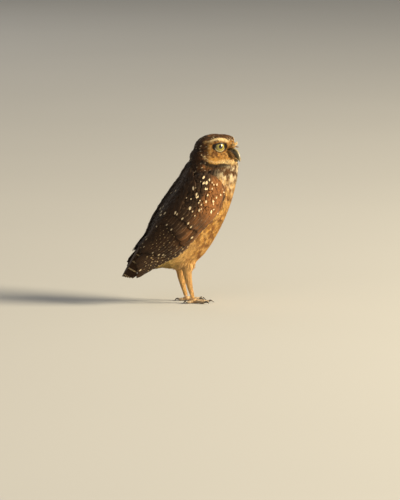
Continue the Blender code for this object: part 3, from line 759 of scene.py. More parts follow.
def coat_flow(points):
    """The way feathers lie: from the bill back over the head, out round the eyes, down the body."""
    _, _, run = trunk_place(points)
    local = to_head(points)
    from_bill = local - np.array((25.0, 0.0, -2.0))
    eye = [0 * local[..., 0] + 12.0, np.sign(local[..., 1]) * 17.0, 0 * local[..., 0] + 8.0]
    near_eye = local - np.stack(eye, -1)
    around_eye = smoothstep(17.0, 10.0, np.linalg.norm(near_eye, axis=-1)) * (local[..., 0] > 0)
    head = unit(unit(from_bill) + 1.6 * around_eye[..., None] * unit(near_eye))
    head = head @ HEAD_AXES
    above = above_cut(points)
    share = smoothstep(-6.0, 8.0, above) * smoothstep(-30.0, 2.0, local[..., 0])
    flow = mix(run, head, share)
    legs = smoothstep(66.0, 54.0, points[..., 2]) * (points[..., 0] > -26)
    return unit(mix(flow, np.broadcast_to((-0.05, 0.0, -1.0), flow.shape), legs))


def lay_lines(skin, roots, lengths, yaw, steps=5):
    """Each feather's line carried along the skin from its root, with the skin's directions under it."""
    point, normal = skin.snap(roots)
    points, normals = [point], [normal]
    for _ in range(steps):
        flow = coat_flow(point)
        flow = unit(flow - normal * (flow * normal).sum(-1, keepdims=True))
        side = np.cross(normal, flow)
        flow = flow * np.cos(yaw)[:, None] + side * np.sin(yaw)[:, None]
        moved = point + flow * (lengths / steps)[:, None]
        found, normal = skin.snap(moved)
        free = smoothstep(1.5, 5.0, np.linalg.norm(found - moved, axis=-1))
        point = mix(found, moved, free)
        points.append(point)
        normals.append(normal)
    return np.stack(points, 1), np.stack(normals, 1)


# A body feather's stations: share of its length, and half width there.
VANE = ((0.0, 0.30), (0.22, 0.72), (0.42, 0.95), (0.62, 1.0), (0.80, 0.90), (0.93, 0.66), (1.0, 0.40))
SMALL_VANE = ((0.0, 0.4), (0.3, 0.9), (0.65, 1.0), (0.9, 0.62), (1.0, 0.28))
LOCK = ((0.0, 0.55), (0.35, 1.0), (0.7, 0.7), (1.0, 0.14))
RAGGED = 0.06


def line_lengths(lines):
    return np.linalg.norm(lines[:, 1:] - lines[:, :-1], axis=2).sum(1)


def vane_mesh(lines, normals, widths, outline, columns, lifts, rng, camber=0.22, thick=0.12, roll=0.12):
    """Closed thin vanes over the lines: points, triangles, and each point's place on its own vane."""
    count, steps = lines.shape[0], lines.shape[1] - 1
    shares, halves = np.array(outline).T
    at = shares * steps
    low = np.minimum(at.astype(int), steps - 1)
    t = (at - low)[None, :, None]
    middle = lines[:, low] * (1 - t) + lines[:, low + 1] * t
    out = unit(normals[:, low] * (1 - t) + normals[:, low + 1] * t)
    ahead = unit(lines[:, low + 1] - lines[:, low])
    side = unit(np.cross(out, ahead))
    across = np.linspace(-1, 1, columns)
    rings = len(outline)
    half = widths[:, None] * halves[None] * (1 + RAGGED * rng.standard_normal((count, rings)))
    root_lift, tip_lift = lifts
    height = root_lift[:, None] + (tip_lift - root_lift)[:, None] * shares[None] ** 0.8
    rolled = roll * rng.standard_normal(count)
    back = (across**2)[None, None] * smoothstep(0.5, 1.0, shares)[None, :, None] * widths[:, None, None] * 0.5
    back = back + RAGGED * 3 * rng.random((count, rings, columns)) * (shares[None, :, None] > 0.7)
    offset = across[None, None] * half[:, :, None]
    rise = height[:, :, None] - camber * across[None, None] ** 2 * half[:, :, None]
    rise = rise + rolled[:, None, None] * offset
    top = middle[:, :, None] + side[:, :, None] * offset[..., None] + out[:, :, None] * rise[..., None]
    top = top - ahead[:, :, None] * back[..., None]
    under = middle + out * (height - thick - camber * 0.3 * half)[..., None]
    ring = np.concatenate([top, under[:, :, None]], axis=2)
    size = columns + 1
    points = ring.reshape(count, rings * size, 3)
    faces = repeated(closed_faces(rings, size)[:, ::-1], count, rings * size)
    offsets = np.concatenate([offset, np.zeros((count, rings, 1))], axis=2)
    along = np.broadcast_to((shares[None] * line_lengths(lines)[:, None])[..., None], offsets.shape)
    chance = np.broadcast_to(rng.random(count)[:, None, None], offsets.shape)
    vane = np.stack([offsets, along, chance], axis=-1).reshape(-1, 3)
    shares_all = np.broadcast_to(shares[None, :, None], offsets.shape).reshape(-1)
    across_all = np.broadcast_to(np.append(across, 0.0)[None, None], offsets.shape).reshape(-1)
    return points.reshape(-1, 3), faces, vane, shares_all, across_all


# The side of a feather's patch on the unwrap.
TUFT_PATCH = 0.003


def add_vanes(name, lines, normals, half_widths, outline, columns, lifts, rng, material, colours, marks,
              slot="plumage", middle_share=0.35, shade=0.24, **form):
    """Closed vanes along the lines as one joined piece, tinted by colours(points)."""
    count = len(lines)
    points, faces, vane, shares, across = vane_mesh(
        lines, normals, half_widths, outline, columns, lifts, rng, **form
    )
    per = len(points) // count
    middle = np.repeat(colours(lines[:, 3]), per, axis=0)
    tint = mix(colours(points), middle, np.full(len(points), middle_share))
    tint = tint * (1 - shade / 2 + shade * np.repeat(rng.random(count), per))[:, None]
    patch = np.stack([across * 0.5, shares - 0.5], axis=1) * TUFT_PATCH
    roots_uv = np.repeat(chart(lines[:, 0], lines[:, 0]), per, axis=0)
    add_object(
        name, points, faces, material, slot, tint=tint, vane=vane,
        mark=np.repeat(marks, per, axis=0), chart=roots_uv + patch,
    )


def whole_size(points):
    return np.ones(points.shape[:-1])


def make_coat(skin, name, region, spacing, length, half_width, lifts, outline, columns, candidates, seed,
              material, spread=0.15, uneven=0.12, scale=whole_size, **form):
    """One stretch of the coat on the skin. lifts are the vanes' heights over it at their root and tip."""
    rng = np.random.default_rng(seed)
    roots = skin.scatter(lambda p: spacing * region(p), candidates, seed)
    count = len(roots)
    size = (0.85 + 0.3 * rng.random(count)) * scale(roots)
    lines, normals = lay_lines(skin, roots, length * size, spread * rng.standard_normal(count))
    tips = lifts[1] * (1 + uneven * (2 * rng.random(count) - 1))
    add_vanes(
        name, lines, normals, half_width * size, outline, columns, (np.full(count, lifts[0]), tips), rng,
        material, coat_colour, coat_marks(lines, half_width, rng), **form,
    )


def coat_marks(lines, half_width, rng):
    """Each feather's pale spot: its place along and across the feather, its size, and its strength."""
    count = len(lines)
    tips = lines[:, 4]
    _, around, _ = trunk_place(tips)
    local = to_head(tips)
    above = above_cut(tips) > 0
    crown = above & ((local[:, 2] > 15) | (local[:, 0] < 2))
    back = ~above & (np.abs(around) > 98) & (tips[:, 2] > 70)
    chance = rng.random(count)
    spotted = (crown & (chance < 0.10)) | (back & (chance < 0.10))
    size = np.where(crown, 0.75, 1.3) * (0.7 + 0.6 * rng.random(count))
    place_across = (rng.random(count) - 0.5) * half_width * 0.8
    strength = spotted * (0.55 + 0.4 * rng.random(count))
    return np.stack([line_lengths(lines) * 0.82, place_across, size, strength], axis=1)


def on_head(points):
    return above_cut(points) > 0


def on_leg(points):
    return (points[..., 2] < LEG_TOP) & (points[..., 0] > -24)


def on_bill(points):
    f, l, u = head_place(points)
    return (f > 22) & (l < 5.6) & (u < 4.2) & (u > -14.0)


def face_size(points):
    """How much smaller the feathers are close to the eyes and the bill."""
    off, _ = lid_off(points)
    bill = np.linalg.norm(to_head(points) - np.array((27.0, 0.0, -2.0)), axis=-1)
    return (0.5 + 0.5 * smoothstep(1.0, 9.0, off)) * (0.75 + 0.25 * smoothstep(6.0, 16.0, bill))


def face_region(points):
    f = to_head(points)[..., 0]
    off, _ = lid_off(points)
    return (on_head(points) & (f > 1.0) & (off > 1.1) & ~on_bill(points)) * face_size(points)


def crown_region(points):
    f = to_head(points)[..., 0]
    return on_head(points) & (f <= 1.0)


def under_wing(points):
    """True where the folded wings hide the trunk."""
    along, around, _ = trunk_place(points)
    lower, upper, _ = wing_edges(along)
    around = np.abs(around)
    return (along > WING[0][0] + 0.25) & (around > lower + 12) & (around < upper - 12)


def trunk_region(front, start=-1.0, end=99.0, low=-999.0, high=999.0):
    """The trunk's front or its back outside the wings, between two places along it and two heights."""

    def region(points):
        along, around, _ = trunk_place(points)
        z = points[..., 2]
        bare = ~on_head(points) & ~on_leg(points) & ~under_wing(points) & ((np.abs(around) < 96) == front)
        return bare & (along >= start) & (along < end) & (z >= low) & (z < high)

    return region


# Wings and tail

# Each row: along the trunk, the wing's lower and upper edge round it in degrees, and its arm's height.
WING = (
    (1.30, 90.0, 112.0, 1.6),
    (1.48, 76.0, 132.0, 3.0),
    (1.90, 66.0, 146.0, 3.8),
    (2.60, 63.0, 154.0, 3.8),
    (3.40, 68.0, 158.0, 3.2),
    (4.20, 80.0, 160.0, 2.7),
    (5.00, 88.0, 160.0, 2.3),
    (5.80, 91.0, 158.0, 1.9),
    (6.60, 93.0, 150.0, 1.6),
    (7.20, 95.0, 128.0, 1.4),
)
QUILL = (
    (0.0, 0.25), (0.1, 0.6), (0.22, 0.86), (0.36, 1.0), (0.52, 1.0), (0.66, 0.98),
    (0.78, 0.9), (0.87, 0.75), (0.94, 0.52), (0.98, 0.3), (1.0, 0.14),
)
COVERT = (
    (0.0, 0.35), (0.18, 0.75), (0.38, 0.96), (0.58, 1.0),
    (0.76, 0.93), (0.89, 0.72), (0.97, 0.42), (1.0, 0.2),
)
QUILL_THICK, QUILL_SPLIT = 0.22, 0.12
# Tiers from the inmost out: kind, number, first and last root, first and last tip (along, around),
# half width, first and last lift at the root and at the tip, and the vane's outline.
TIERS = (
    ("tertial", 5, (3.0, 158), (3.1, 148), (7.0, 163), (7.7, 148), 6.2, (2.1, 2.1), (3.3, 3.1), QUILL),
    ("secondary", 11, (3.2, 148), (4.3, 95), (7.75, 142), (6.7, 97), 6.2, (2.0, 2.0), (3.0, 2.5), QUILL),
    ("primary", 10, (4.6, 116), (4.4, 87), (8.35, 134), (8.95, 97), 5.0, (1.9, 1.9), (2.3, 1.7), QUILL),
    ("greater", 13, (3.0, 152), (3.5, 80), (4.9, 156), (5.4, 91), 5.6, (1.8, 1.8), (3.6, 3.4), COVERT),
    ("median", 12, (2.5, 150), (2.9, 73), (4.2, 153), (4.5, 82), 5.0, (2.2, 2.2), (3.9, 3.9), COVERT),
    ("alula", 3, (2.9, 72), (2.7, 68), (4.9, 88), (4.0, 78), 4.0, (2.2, 2.2), (3.5, 3.6), QUILL),
)
WING_GROUPS = {"flight": ("tertial", "secondary", "primary"), "coverts": ("greater", "median", "alula")}
TAIL_TIP = (-99.5, 0.0, 40.0)
TAIL_LENGTH, TAIL_HALF_WIDTH, TAIL_ROOT_HALF_WIDTH = 62.0, 19.0, 6.0
TAIL_DROOP, TAIL_ROUNDING = 10.0, 7.0
TAIL_INTO, TAIL_ABOVE = (0.53, 0.0, 0.848), (-0.848, 0.0, 0.53)


def wing_edges(along):
    """The wing's lower and upper edge and its arm's height at each along."""
    places, *rows = np.array(WING).T
    return [np.interp(along, places, row) for row in rows]


def quill_mesh(surface, half_width, outline, rng, columns=7):
    """A closed large vane: its points, triangles, places on the vane, and shares of its length and width.

    surface(share, across in mm) gives points on its upper face, their outward directions and its length.
    """
    shares, halves = np.array(outline).T
    rings = len(outline)
    across = np.linspace(-1, 1, columns)
    half = half_width * halves * (1 + 0.03 * rng.standard_normal(rings))
    notch = np.ones((rings, columns))
    for edge in (0, columns - 1):
        notch[rng.integers(4, rings - 2), edge] -= QUILL_SPLIT * rng.random() * 2
    offset = half[:, None] * across[None] * notch
    share = np.broadcast_to(shares[:, None], offset.shape)
    top, out, length = surface(share, offset)
    under = top[:, 1:-1] - out[:, 1:-1] * QUILL_THICK
    points = np.concatenate([top, under[:, ::-1]], axis=1)
    offsets = np.concatenate([offset, offset[:, 1:-1][:, ::-1]], axis=1)
    along = np.broadcast_to(shares[:, None] * length, offsets.shape)
    vane = np.stack([offsets, along, np.full(offsets.shape, rng.random())], -1)
    share = np.broadcast_to(shares[:, None], offsets.shape)
    width = np.broadcast_to(np.concatenate([across, across[1:-1][::-1]]), offsets.shape)
    faces = closed_faces(rings, 2 * columns - 2)
    return points.reshape(-1, 3), faces, vane.reshape(-1, 3), share.ravel(), width.ravel()


class Quills:
    """Large vanes gathered into one piece, each with its own cell of the unwrap."""

    def __init__(self, per_row, fill):
        self.per_row, self.fill = per_row, fill
        self.meshes, self.values = [], []

    def add(self, points, faces, vane, share, width, tint, mark, bars):
        index = len(self.meshes)
        cell = np.array((index % self.per_row, index // self.per_row)) / self.per_row
        wide, long = self.fill
        chart_ = cell + np.stack([width * wide + 0.5, share * long + (1 - long) / 2], 1) / self.per_row
        same = [np.broadcast_to(v, (len(points), 4)) for v in (mark, bars)]
        self.meshes.append((points, faces))
        self.values.append((chart_, tint, vane, *same))

    def build(self, name, node):
        points, faces = joined(self.meshes)
        chart_, tint, vane, mark, bars = (np.concatenate(v) for v in zip(*self.values))
        add_object(
            name, points, faces, FLIGHT, "flight_feathers", replaced=(node,),
            chart=chart_, tint=tint, vane=vane, mark=mark, bars=bars,
        )


def row_lengths(along):
    """Millimetres of trunk to one row of its table."""
    return np.linalg.norm(rows_at(TRUNK, along + 0.5)[:, :2] - rows_at(TRUNK, along - 0.5)[:, :2], axis=1)


def degree_lengths(along):
    """Millimetres round the trunk to one degree."""
    _, _, back, breast, half_width = rows_at(TRUNK, along).T
    return math.radians(1) * (back + breast + 2 * half_width) / 4


def arm_height(along, around):
    """The height over the trunk of the wing's arm, rounded down to both its edges."""
    lower, upper, height = wing_edges(along)
    v = np.clip((around - lower) / (upper - lower), 0, 1)
    return 0.9 + (height - 0.9) * (1 - np.abs(2 * v - 1) ** 3) ** 0.6


def chart_roots(inside, low, high, spacing, candidates, rng):
    """Roots spread evenly over a stretch of the trunk's chart, where inside(along, around) holds."""
    along = rng.uniform(low[0], high[0], candidates)
    around = rng.uniform(low[1], high[1], candidates)
    wanted = inside(along, around)
    along, around = along[wanted], around[wanted]
    points, _ = trunk_points(along, around, 0.0, 1)
    kept = thin_out(points, np.full(len(points), spacing))
    return along[kept], around[kept]


def chart_lines(along, around, headings, lengths, side, height, steps=5):
    """Each feather's line over the chart, on the surface that height(along, around) gives."""
    points, normals = [], []
    for _ in range(steps + 1):
        point, normal = trunk_points(along, around, height(along, around), side)
        points.append(point)
        normals.append(normal)
        along = along + np.cos(headings) * lengths / steps / row_lengths(along)
        around = around + np.sin(headings) * lengths / steps / degree_lengths(along)
    return np.stack(points, 1), np.stack(normals, 1), along, around


VANE_TILT = 0.4


def wing_vane(side, root, tip, lifts, half):
    """The surface of one wing vane: points from its share of length and its millimetres across."""
    centre = (root + tip) / 2
    step = np.array((row_lengths(centre[:1])[0], degree_lengths(centre[:1])[0]))
    run = (tip - root) * step
    length = np.linalg.norm(run)
    run /= length
    turn = np.array((-run[1], run[0]))
    if turn[1] < 0:
        turn = -turn

    def surface(share, across):
        spot = root + (tip - root) * share[..., None] + turn / step * across[..., None]
        v = across / half
        lift = lifts[0] + (lifts[1] - lifts[0]) * share**0.8 - v * VANE_TILT - 0.35 * v * v
        point, out = trunk_points(spot[..., 0], spot[..., 1], lift, side)
        return point, out, length

    return surface


def wing_pieces(side):
    """Every large vane of one wing: its kind, root, tip, half width, lifts and outline."""
    rng = np.random.default_rng(31 + side)
    made = []
    for kind, count, root_a, root_b, tip_a, tip_b, half, roots, tips, outline in TIERS:
        for k in range(count):
            t = k / (count - 1)
            jitter = 0.25 / count
            root = np.array(root_a) * (1 - t) + np.array(root_b) * t
            tip = np.array(tip_a) * (1 - t) + np.array(tip_b) * t
            tip = tip + rng.standard_normal(2) * np.array((0.05, 1.0)) * (1 + jitter)
            lifts = (roots[0] * (1 - t) + roots[1] * t, tips[0] * (1 - t) + tips[1] * t)
            made.append((kind, root, tip, half * (0.92 + 0.16 * rng.random()), lifts, outline))
    return made


def wing_colour(points):
    """Rufous brown on the shoulder, dark brown behind and over the flight feathers: partly the wing's own
    colour, partly painted light on the front and painted shade behind.
    """
    along, around, _ = trunk_place(points)
    around = np.abs(around)
    fine, coarse = noise(points, 3.0, 21), noise(points, 8.0, 22)
    dark = mix(DARK, BROWN, 0.15 + 0.45 * coarse)
    # shoulder and lower paint the front of the wing, which faces the key light, lighter and warmer: partly
    # its own rufous, partly painted light.
    shoulder = smoothstep(112.0, 92.0, around + 8 * (coarse - 0.5)) * smoothstep(4.2, 3.0, along)
    lower = smoothstep(118.0, 96.0, around) * smoothstep(2.6, 3.4, along) * smoothstep(6.2, 4.8, along) * 0.45
    colour = mix(dark, RUFOUS, np.maximum(shoulder * 0.9, lower * smoothstep(0.3, 0.7, fine)))
    # A dark band along the wing's lower front edge: partly dark fringe feathers, partly painted shadow of the
    # gap between the wing and the breast.
    front = smoothstep(6.0, 2.0, around - wing_edges(along)[0]) * smoothstep(3.1, 2.3, along)
    return mix(colour, DARK, front * 0.9)


def make_wing(side_name, side):
    """The tiers of large vanes: the flight feathers, and the great coverts over them."""
    rng = np.random.default_rng(57 + side)
    pieces = wing_pieces(side)
    for group, kinds in WING_GROUPS.items():
        quills = Quills(10, (0.35, 0.86))
        for kind, root, tip, half, lifts, outline in (p for p in pieces if p[0] in kinds):
            surface = wing_vane(side, root, tip, lifts, half)
            points, faces, vane, share, width = quill_mesh(surface, half, outline, rng)
            tint = wing_colour(points) * (0.85 + 0.3 * rng.random())
            bars, mark = mark_wing(kind, vane[:, 1].max(), half, rng)
            quills.add(points, faces[:, ::-side], vane, share, width, tint, mark, bars)
        quills.build(f"great_{group}_{side_name}", f"wing_{side_name}")


# Pale spots that show on the folded wing, along and around, with their sizes in mm.
WING_SPOTS = (
    (1.62, 104.0, 1.4), (1.90, 108.0, 2.0), (2.10, 116.0, 1.7), (2.30, 106.0, 2.5), (2.75, 118.0, 1.5),
    (3.00, 114.0, 2.3), (3.65, 114.0, 2.0), (1.6, 118.0, 1.6), (2.75, 82.0, 1.6), (3.05, 92.0, 1.3),
    (3.35, 80.0, 1.4), (3.5, 96.0, 1.4), (4.1, 92.0, 1.3), (3.1, 74.0, 1.1), (4.70, 160.0, 1.3),
    (5.45, 158.0, 1.2), (5.2, 138.0, 1.5), (4.75, 120.0, 1.5), (4.3, 138.0, 1.2), (4.2, 104.0, 1.3),
)


def spot_near(along, around, reach=5.0):
    """The size of the listed spot that shows at each place on the chart, or 0."""
    sizes = np.zeros(len(along))
    for at, turn, size in WING_SPOTS:
        away = np.hypot((along - at) * 22, (around - turn) * 0.75)
        closest = np.argmin(away)
        if away[closest] < reach:
            sizes[closest] = 0.85 * size
    return sizes


# The rows of dots on each kind of flight feather: their period in mm and their strength.
DOTS = {"primary": (10.5, 0.75), "secondary": (11.5, 0.42), "tertial": (16.0, 0.2)}


def mark_wing(kind, length, half, rng):
    """The vane's rows of pale dots on its outer web, and the spot by its tip."""
    period, strength = DOTS.get(kind, (9.0, 0.12))
    bars = (period, -half * 0.80, 0.6, strength * (0.5 + 0.6 * rng.random()))
    if rng.random() < 0.3:
        return bars, (length * 0.93, -half * 0.25, 0.7 + 0.3 * rng.random(), 0.7)
    return bars, (0.0, 0.0, 0.0, 0.0)


def make_coverts(side_name, side):
    """The small coverts over the arm, and the scapulars that lie over them from the back."""
    rng = np.random.default_rng(83 + side)

    def on_arm(along, around):
        lower, upper, _ = wing_edges(along)
        return (around > lower + 1.5) & (around < upper - 1) & (along < 3.9)

    along, around = chart_roots(on_arm, (1.33, 60.0), (3.9, 160.0), 3.3, 9000, rng)
    order = np.argsort(-along)
    along, around = along[order], around[order]
    count = len(along)
    headings = np.radians(-22 + 0.42 * (around - 70)) * smoothstep(3.6, 1.4, along)
    headings = headings + 0.1 * rng.standard_normal(count)
    lengths = (9.5 + 2.5 * smoothstep(1.5, 3.5, along)) * (0.88 + 0.24 * rng.random(count))
    lines, normals, tip_along, tip_around = chart_lines(along, around, headings, lengths, side, arm_height)
    sizes = spot_near(tip_along - 0.1, tip_around)
    small = (sizes == 0) & (rng.random(count) < 0.13)
    sizes = np.where(small, 0.55 + 0.35 * rng.random(count), sizes)
    marks = np.stack([lengths * 0.8, 0.6 * rng.standard_normal(count), sizes, (sizes > 0) * 0.95], axis=1)
    add_vanes(
        f"coverts_{side_name}", lines, normals, np.full(count, 2.9), VANE, 5,
        (np.full(count, -0.6), 0.75 + 0.2 * rng.random(count)), rng, COVERTS, wing_colour, marks,
        slot="flight_feathers", roll=0.05, camber=0.12,
    )

    def shoulder(along, around):
        return around > 172 - 30 * smoothstep(1.0, 2.0, along)

    along, around = chart_roots(shoulder, (1.15, 118.0), (3.7, 171.0), 5.6, 3000, rng)
    count = len(along)
    headings = np.radians(-34 * smoothstep(1.0, 1.8, along) + 18 * smoothstep(2.4, 3.7, along))
    headings = headings + 0.08 * rng.standard_normal(count)
    lengths = 20 * (0.88 + 0.24 * rng.random(count))

    def over_arm(along, around):
        return arm_height(along, around) + 0.5 * smoothstep(178, 160, around)

    lines, normals, tip_along, tip_around = chart_lines(along, around, headings, lengths, side, over_arm)
    sizes = spot_near(tip_along - 0.12, tip_around, 7.0)
    marks = np.stack([lengths * 0.82, 0.8 * rng.standard_normal(count), sizes, (sizes > 0) * 1.0], axis=1)
    add_vanes(
        f"scapulars_{side_name}", lines, normals, np.full(count, 4.2), VANE, 7,
        (np.full(count, 0.0), 1.0 + 0.3 * rng.random(count)), rng, COVERTS, wing_colour, marks,
        slot="flight_feathers", roll=0.04, camber=0.12,
    )


def make_mantle():
    """The back's feathers between the wings, over their upper edges."""
    rng = np.random.default_rng(91)

    def between(along, around):
        return np.abs(180 - around) < 14 + 16 * smoothstep(0.9, 1.6, along) - 6 * smoothstep(4.0, 6.6, along)

    def height(along, around):
        folded = 180 - np.abs(180 - around)
        wing = (arm_height(along, np.minimum(folded, 150.0)) + 0.7) * smoothstep(1.2, 1.8, along)
        return 0.2 + wing * smoothstep(176, 156, folded)

    along, around = chart_roots(between, (0.75, 140.0), (6.9, 220.0), 4.0, 9000, rng)
    count = len(along)
    headings = np.radians(0.3 * (around - 180)) * smoothstep(3.5, 1.0, along)
    headings = headings + 0.1 * rng.standard_normal(count)
    lengths = 13.0 * (0.88 + 0.24 * rng.random(count))
    lines, normals, tip_along, tip_around = chart_lines(along, around, headings, lengths, 1, height)
    folded = 180 - np.abs(180 - tip_around)
    sizes = spot_near(tip_along - 0.1, folded, 7.0)
    small = (sizes == 0) & (rng.random(count) < 0.10)
    sizes = np.where(small, 0.8 + 0.5 * rng.random(count), sizes)
    marks = np.stack([lengths * 0.82, 0.8 * rng.standard_normal(count), sizes, (sizes > 0) * 0.85], axis=1)
    add_vanes(
        "mantle", lines, normals, np.full(count, 3.9), VANE, 5,
        (np.full(count, -0.4), 1.0 + 0.2 * rng.random(count)), rng, PLUMAGE, body_colour, marks,
        roll=0.05, camber=0.12,
    )


def wing_core(side):
    """The wing's arm under its vanes."""
    rings = []
    for along in np.linspace(WING[0][0], WING[-1][0], 22):
        lower, upper, _ = wing_edges(along)
        turns = np.linspace(lower + 1.5, upper - 1.5, 12)
        top, _ = trunk_points(np.full(12, along), turns, arm_height(np.full(12, along), turns) - 0.3, side)
        under, _ = trunk_points(np.full(10, along), turns[1:-1][::-1], np.full(10, -0.6), side)
        rings.append(np.concatenate([top, under]))
    points, faces = loft(rings)
    return points, outward(points, faces)


def tail_surface(inward, sideways, lift):
    tented = -TAIL_DROOP * (sideways / TAIL_HALF_WIDTH) ** 2 * (1 - 0.75 * inward / TAIL_LENGTH)
    tip, into, above = (np.array(v) for v in (TAIL_TIP, TAIL_INTO, TAIL_ABOVE))
    point = tip + into * inward[..., None] + above * (lift + tented)[..., None]
    return point + np.array((0.0, 1.0, 0.0)) * sideways[..., None], np.broadcast_to(above, point.shape)


def make_tail():
    """Twelve tail feathers, the middle pair on top, each barred."""
    rng = np.random.default_rng(71)
    half = 5.6
    quills = Quills(4, (0.4, 0.9))
    for k in range(12):
        side = 1 if k % 2 else -1
        step = k // 2
        root_side = side * TAIL_ROOT_HALF_WIDTH * (step + 0.5) / 6
        tip_side = side * (TAIL_HALF_WIDTH - 4.5) * (step + 0.35) / 5.4
        short = TAIL_ROUNDING * (abs(tip_side) / TAIL_HALF_WIDTH) ** 2

        def surface(share, offset):
            inward = TAIL_LENGTH + (short - TAIL_LENGTH) * share
            sideways = root_side + (tip_side - root_side) * share + offset
            lift = 0.9 - 0.62 * step - 0.35 * side * offset / half - 0.25 * (offset / half) ** 2
            point, out = tail_surface(inward, sideways, lift)
            return point, out, TAIL_LENGTH - short

        points, faces, vane, share, width = quill_mesh(surface, half, QUILL, rng, columns=9)
        tint = mix(DARK, BROWN, 0.6 + 0.4 * noise(points, 5.0, 41)) * (1.0 + 0.2 * rng.random())
        tint = mix(tint, np.array(BUFF) * 0.7, smoothstep(0.975, 1.0, share) * 0.6)
        vane[:, 2] = 0.15 + 0.06 * rng.random()
        bars = (11.0, side * half * 0.5, half * 0.33, 0.85)
        quills.add(points, faces, vane, share, width, tint, (0.0, 0.0, 0.0, 0.0), bars)
    quills.build("tail_feathers", "tail")


# Eyes, lids and bill

IRIS_RADIUS, PUPIL_RADIUS = 6.5, 3.0
CORNEA_RISE = 0.9


def eye_place(side, x, y, lift):
    """Points over the eyeball: x towards the back of the head, y up, in mm seen from in front of the eye."""
    across, up, look = eye_axes(side)
    x, y = np.asarray(x, float), np.asarray(y, float)
    depth = np.sqrt(np.maximum(EYE_RADIUS**2 - x**2 - y**2, 1.0))
    ray = across * x[..., None] + up * y[..., None] + look * depth[..., None]
    return from_head(eye_centre(side) + unit(ray) * (EYE_RADIUS + np.asarray(lift, float)[..., None]))


def eye_material():
    n = Nodes("eyeball", 0.06, Coat_Weight=1.0, Coat_Roughness=0.02, Specular_IOR_Level=0.6)
    radius, turn, _ = n.split(n.attribute("iris", "Vector"))
    inputs = {0: n.math("MULTIPLY", turn, 14.0), 1: n.math("MULTIPLY", radius, 0.5)}
    streak = n.add("ShaderNodeCombineXYZ", inputs).outputs[0]
    fibres = n.add("ShaderNodeTexNoise", {"Vector": streak, "Scale": 1.0, "Detail": 3.0}).outputs["Fac"]
    inner = n.mix(n.step(fibres, 0.3, 0.7), (0.25, 0.20, 0.022), (0.50, 0.42, 0.075))
    iris = n.mix(n.step(radius, IRIS_RADIUS - 2.0, IRIS_RADIUS), inner, (0.20, 0.155, 0.018))
    ringed = n.mix(n.step(radius, IRIS_RADIUS - 0.5, IRIS_RADIUS), iris, (0.02, 0.014, 0.008))
    colour = n.mix(n.step(radius, PUPIL_RADIUS + 0.15, PUPIL_RADIUS - 0.15), ringed, (0.003, 0.003, 0.003))
    return n.finish(colour)


def make_eye(name, side, material):
    """An eyeball with its cornea, its rings round the line of sight."""
    across, up, look = eye_axes(side)
    polar = np.radians(np.concatenate([np.linspace(1.2, 48, 34), np.linspace(52, 176, 18)]))
    turns = np.radians(np.arange(0, 360, 6.0))
    p, t = np.meshgrid(polar, turns, indexing="ij")
    reach = EYE_RADIUS + CORNEA_RISE * np.exp(-((np.degrees(p) / 27.0) ** 2))
    ray = np.cos(p)[..., None] * look + (np.sin(p) * np.cos(t))[..., None] * across
    ray = ray + (np.sin(p) * np.sin(t))[..., None] * up
    rings = from_head(eye_centre(side) + ray * reach[..., None])
    points, faces = loft(list(rings))
    behind = p.ravel() > math.pi / 2
    radius = EYE_RADIUS * np.sin(np.minimum(p, math.pi / 2)).ravel() + 9 * behind
    radius = np.append(radius, (0.0, 20.0))
    turn = np.append(t.ravel(), (0.0, 0.0))
    flat = np.append(p.ravel(), (0.0, math.pi)) / math.pi * 0.48
    uv = np.stack([0.5 + flat * np.cos(turn), 0.5 + flat * np.sin(turn)], axis=1)
    node = name.replace("ball", "")
    obj = add_object(name, points, outward(points, faces), material, "eye", replaced=(node,), chart=uv)
    set_values(obj.data, "iris", np.stack([radius, np.cos(turn) * 2, np.zeros(len(turn))], axis=1))


LID_SEGMENTS = 10


def sweep(path, outs, wide, high):
    """A closed ring of tube round a closed path, wide across the path and high along outs."""
    count = len(path)
    ahead = unit(np.roll(path, -1, axis=0) - np.roll(path, 1, axis=0))
    outs = unit(outs - ahead * (outs * ahead).sum(1, keepdims=True))
    side = np.cross(ahead, outs)
    turns = np.radians(np.arange(LID_SEGMENTS) * 360 / LID_SEGMENTS)
    over = side[:, None] * (np.cos(turns)[None, :, None] * np.full(count, wide)[:, None, None])
    out = outs[:, None] * (np.sin(turns)[None, :, None] * np.full(count, high)[:, None, None])
    points = (path[:, None] + over + out).reshape(-1, 3)
    faces = np.array(ring_faces(count + 1, LID_SEGMENTS)) % len(points)
    return points, outward(points, faces)


def make_lids(name, side, material):
    """The dark rims of both lids, with the pale edge of the lower one."""
    turn = np.radians(np.arange(0, 360, 5.0))
    lower = smoothstep(-0.1, -0.75, np.sin(turn))
    rims = []
    for grow, lift, wide, high in ((0.25, 0.42, 0.60 + 0.22 * lower, 0.5), (1.35, 0.5, 0.75, 0.62)):
        path = eye_place(side, *lid_curve(turn, grow), np.full(len(turn), lift))
        rims.append(sweep(path, unit(path - from_head(eye_centre(side))), wide, high))
    points, faces = joined(rims)
    black = np.broadcast_to((0.016, 0.011, 0.008), (len(turn), 3))
    tints = np.concatenate([mix(black, (0.66, 0.56, 0.30), lower * 0.62), black * 1.6])
    flat = (to_head(points) - eye_centre(side)) @ np.stack(eye_axes(side)).T
    add_object(
        name, points, faces, material, "plumage",
        tint=np.repeat(tints, LID_SEGMENTS, axis=0), chart=0.5 + flat[:, :2] / 24,
    )


def plain_material(name, roughness, grain_mm, grain, depth_mm, **constants):
    """The tint of the mesh with fine grain in its colour and surface."""
    n = Nodes(name, roughness, **constants)
    fine, broad = n.noise(grain_mm, 4.0), n.noise(grain_mm * 5, 2.0)
    tint = n.attribute("tint")
    share = n.math("ADD", n.math("MULTIPLY", fine, 0.6), n.math("MULTIPLY", broad, 0.4))
    colour = n.mix(
        n.step(share, 0.3, 0.7),
        n.mix(1.0, tint, (1 - grain,) * 3, "MULTIPLY"),
        n.mix(1.0, tint, (1 + grain,) * 3, "MULTIPLY"),
    )
    return n.finish(colour, fine, depth_mm, 0.5)


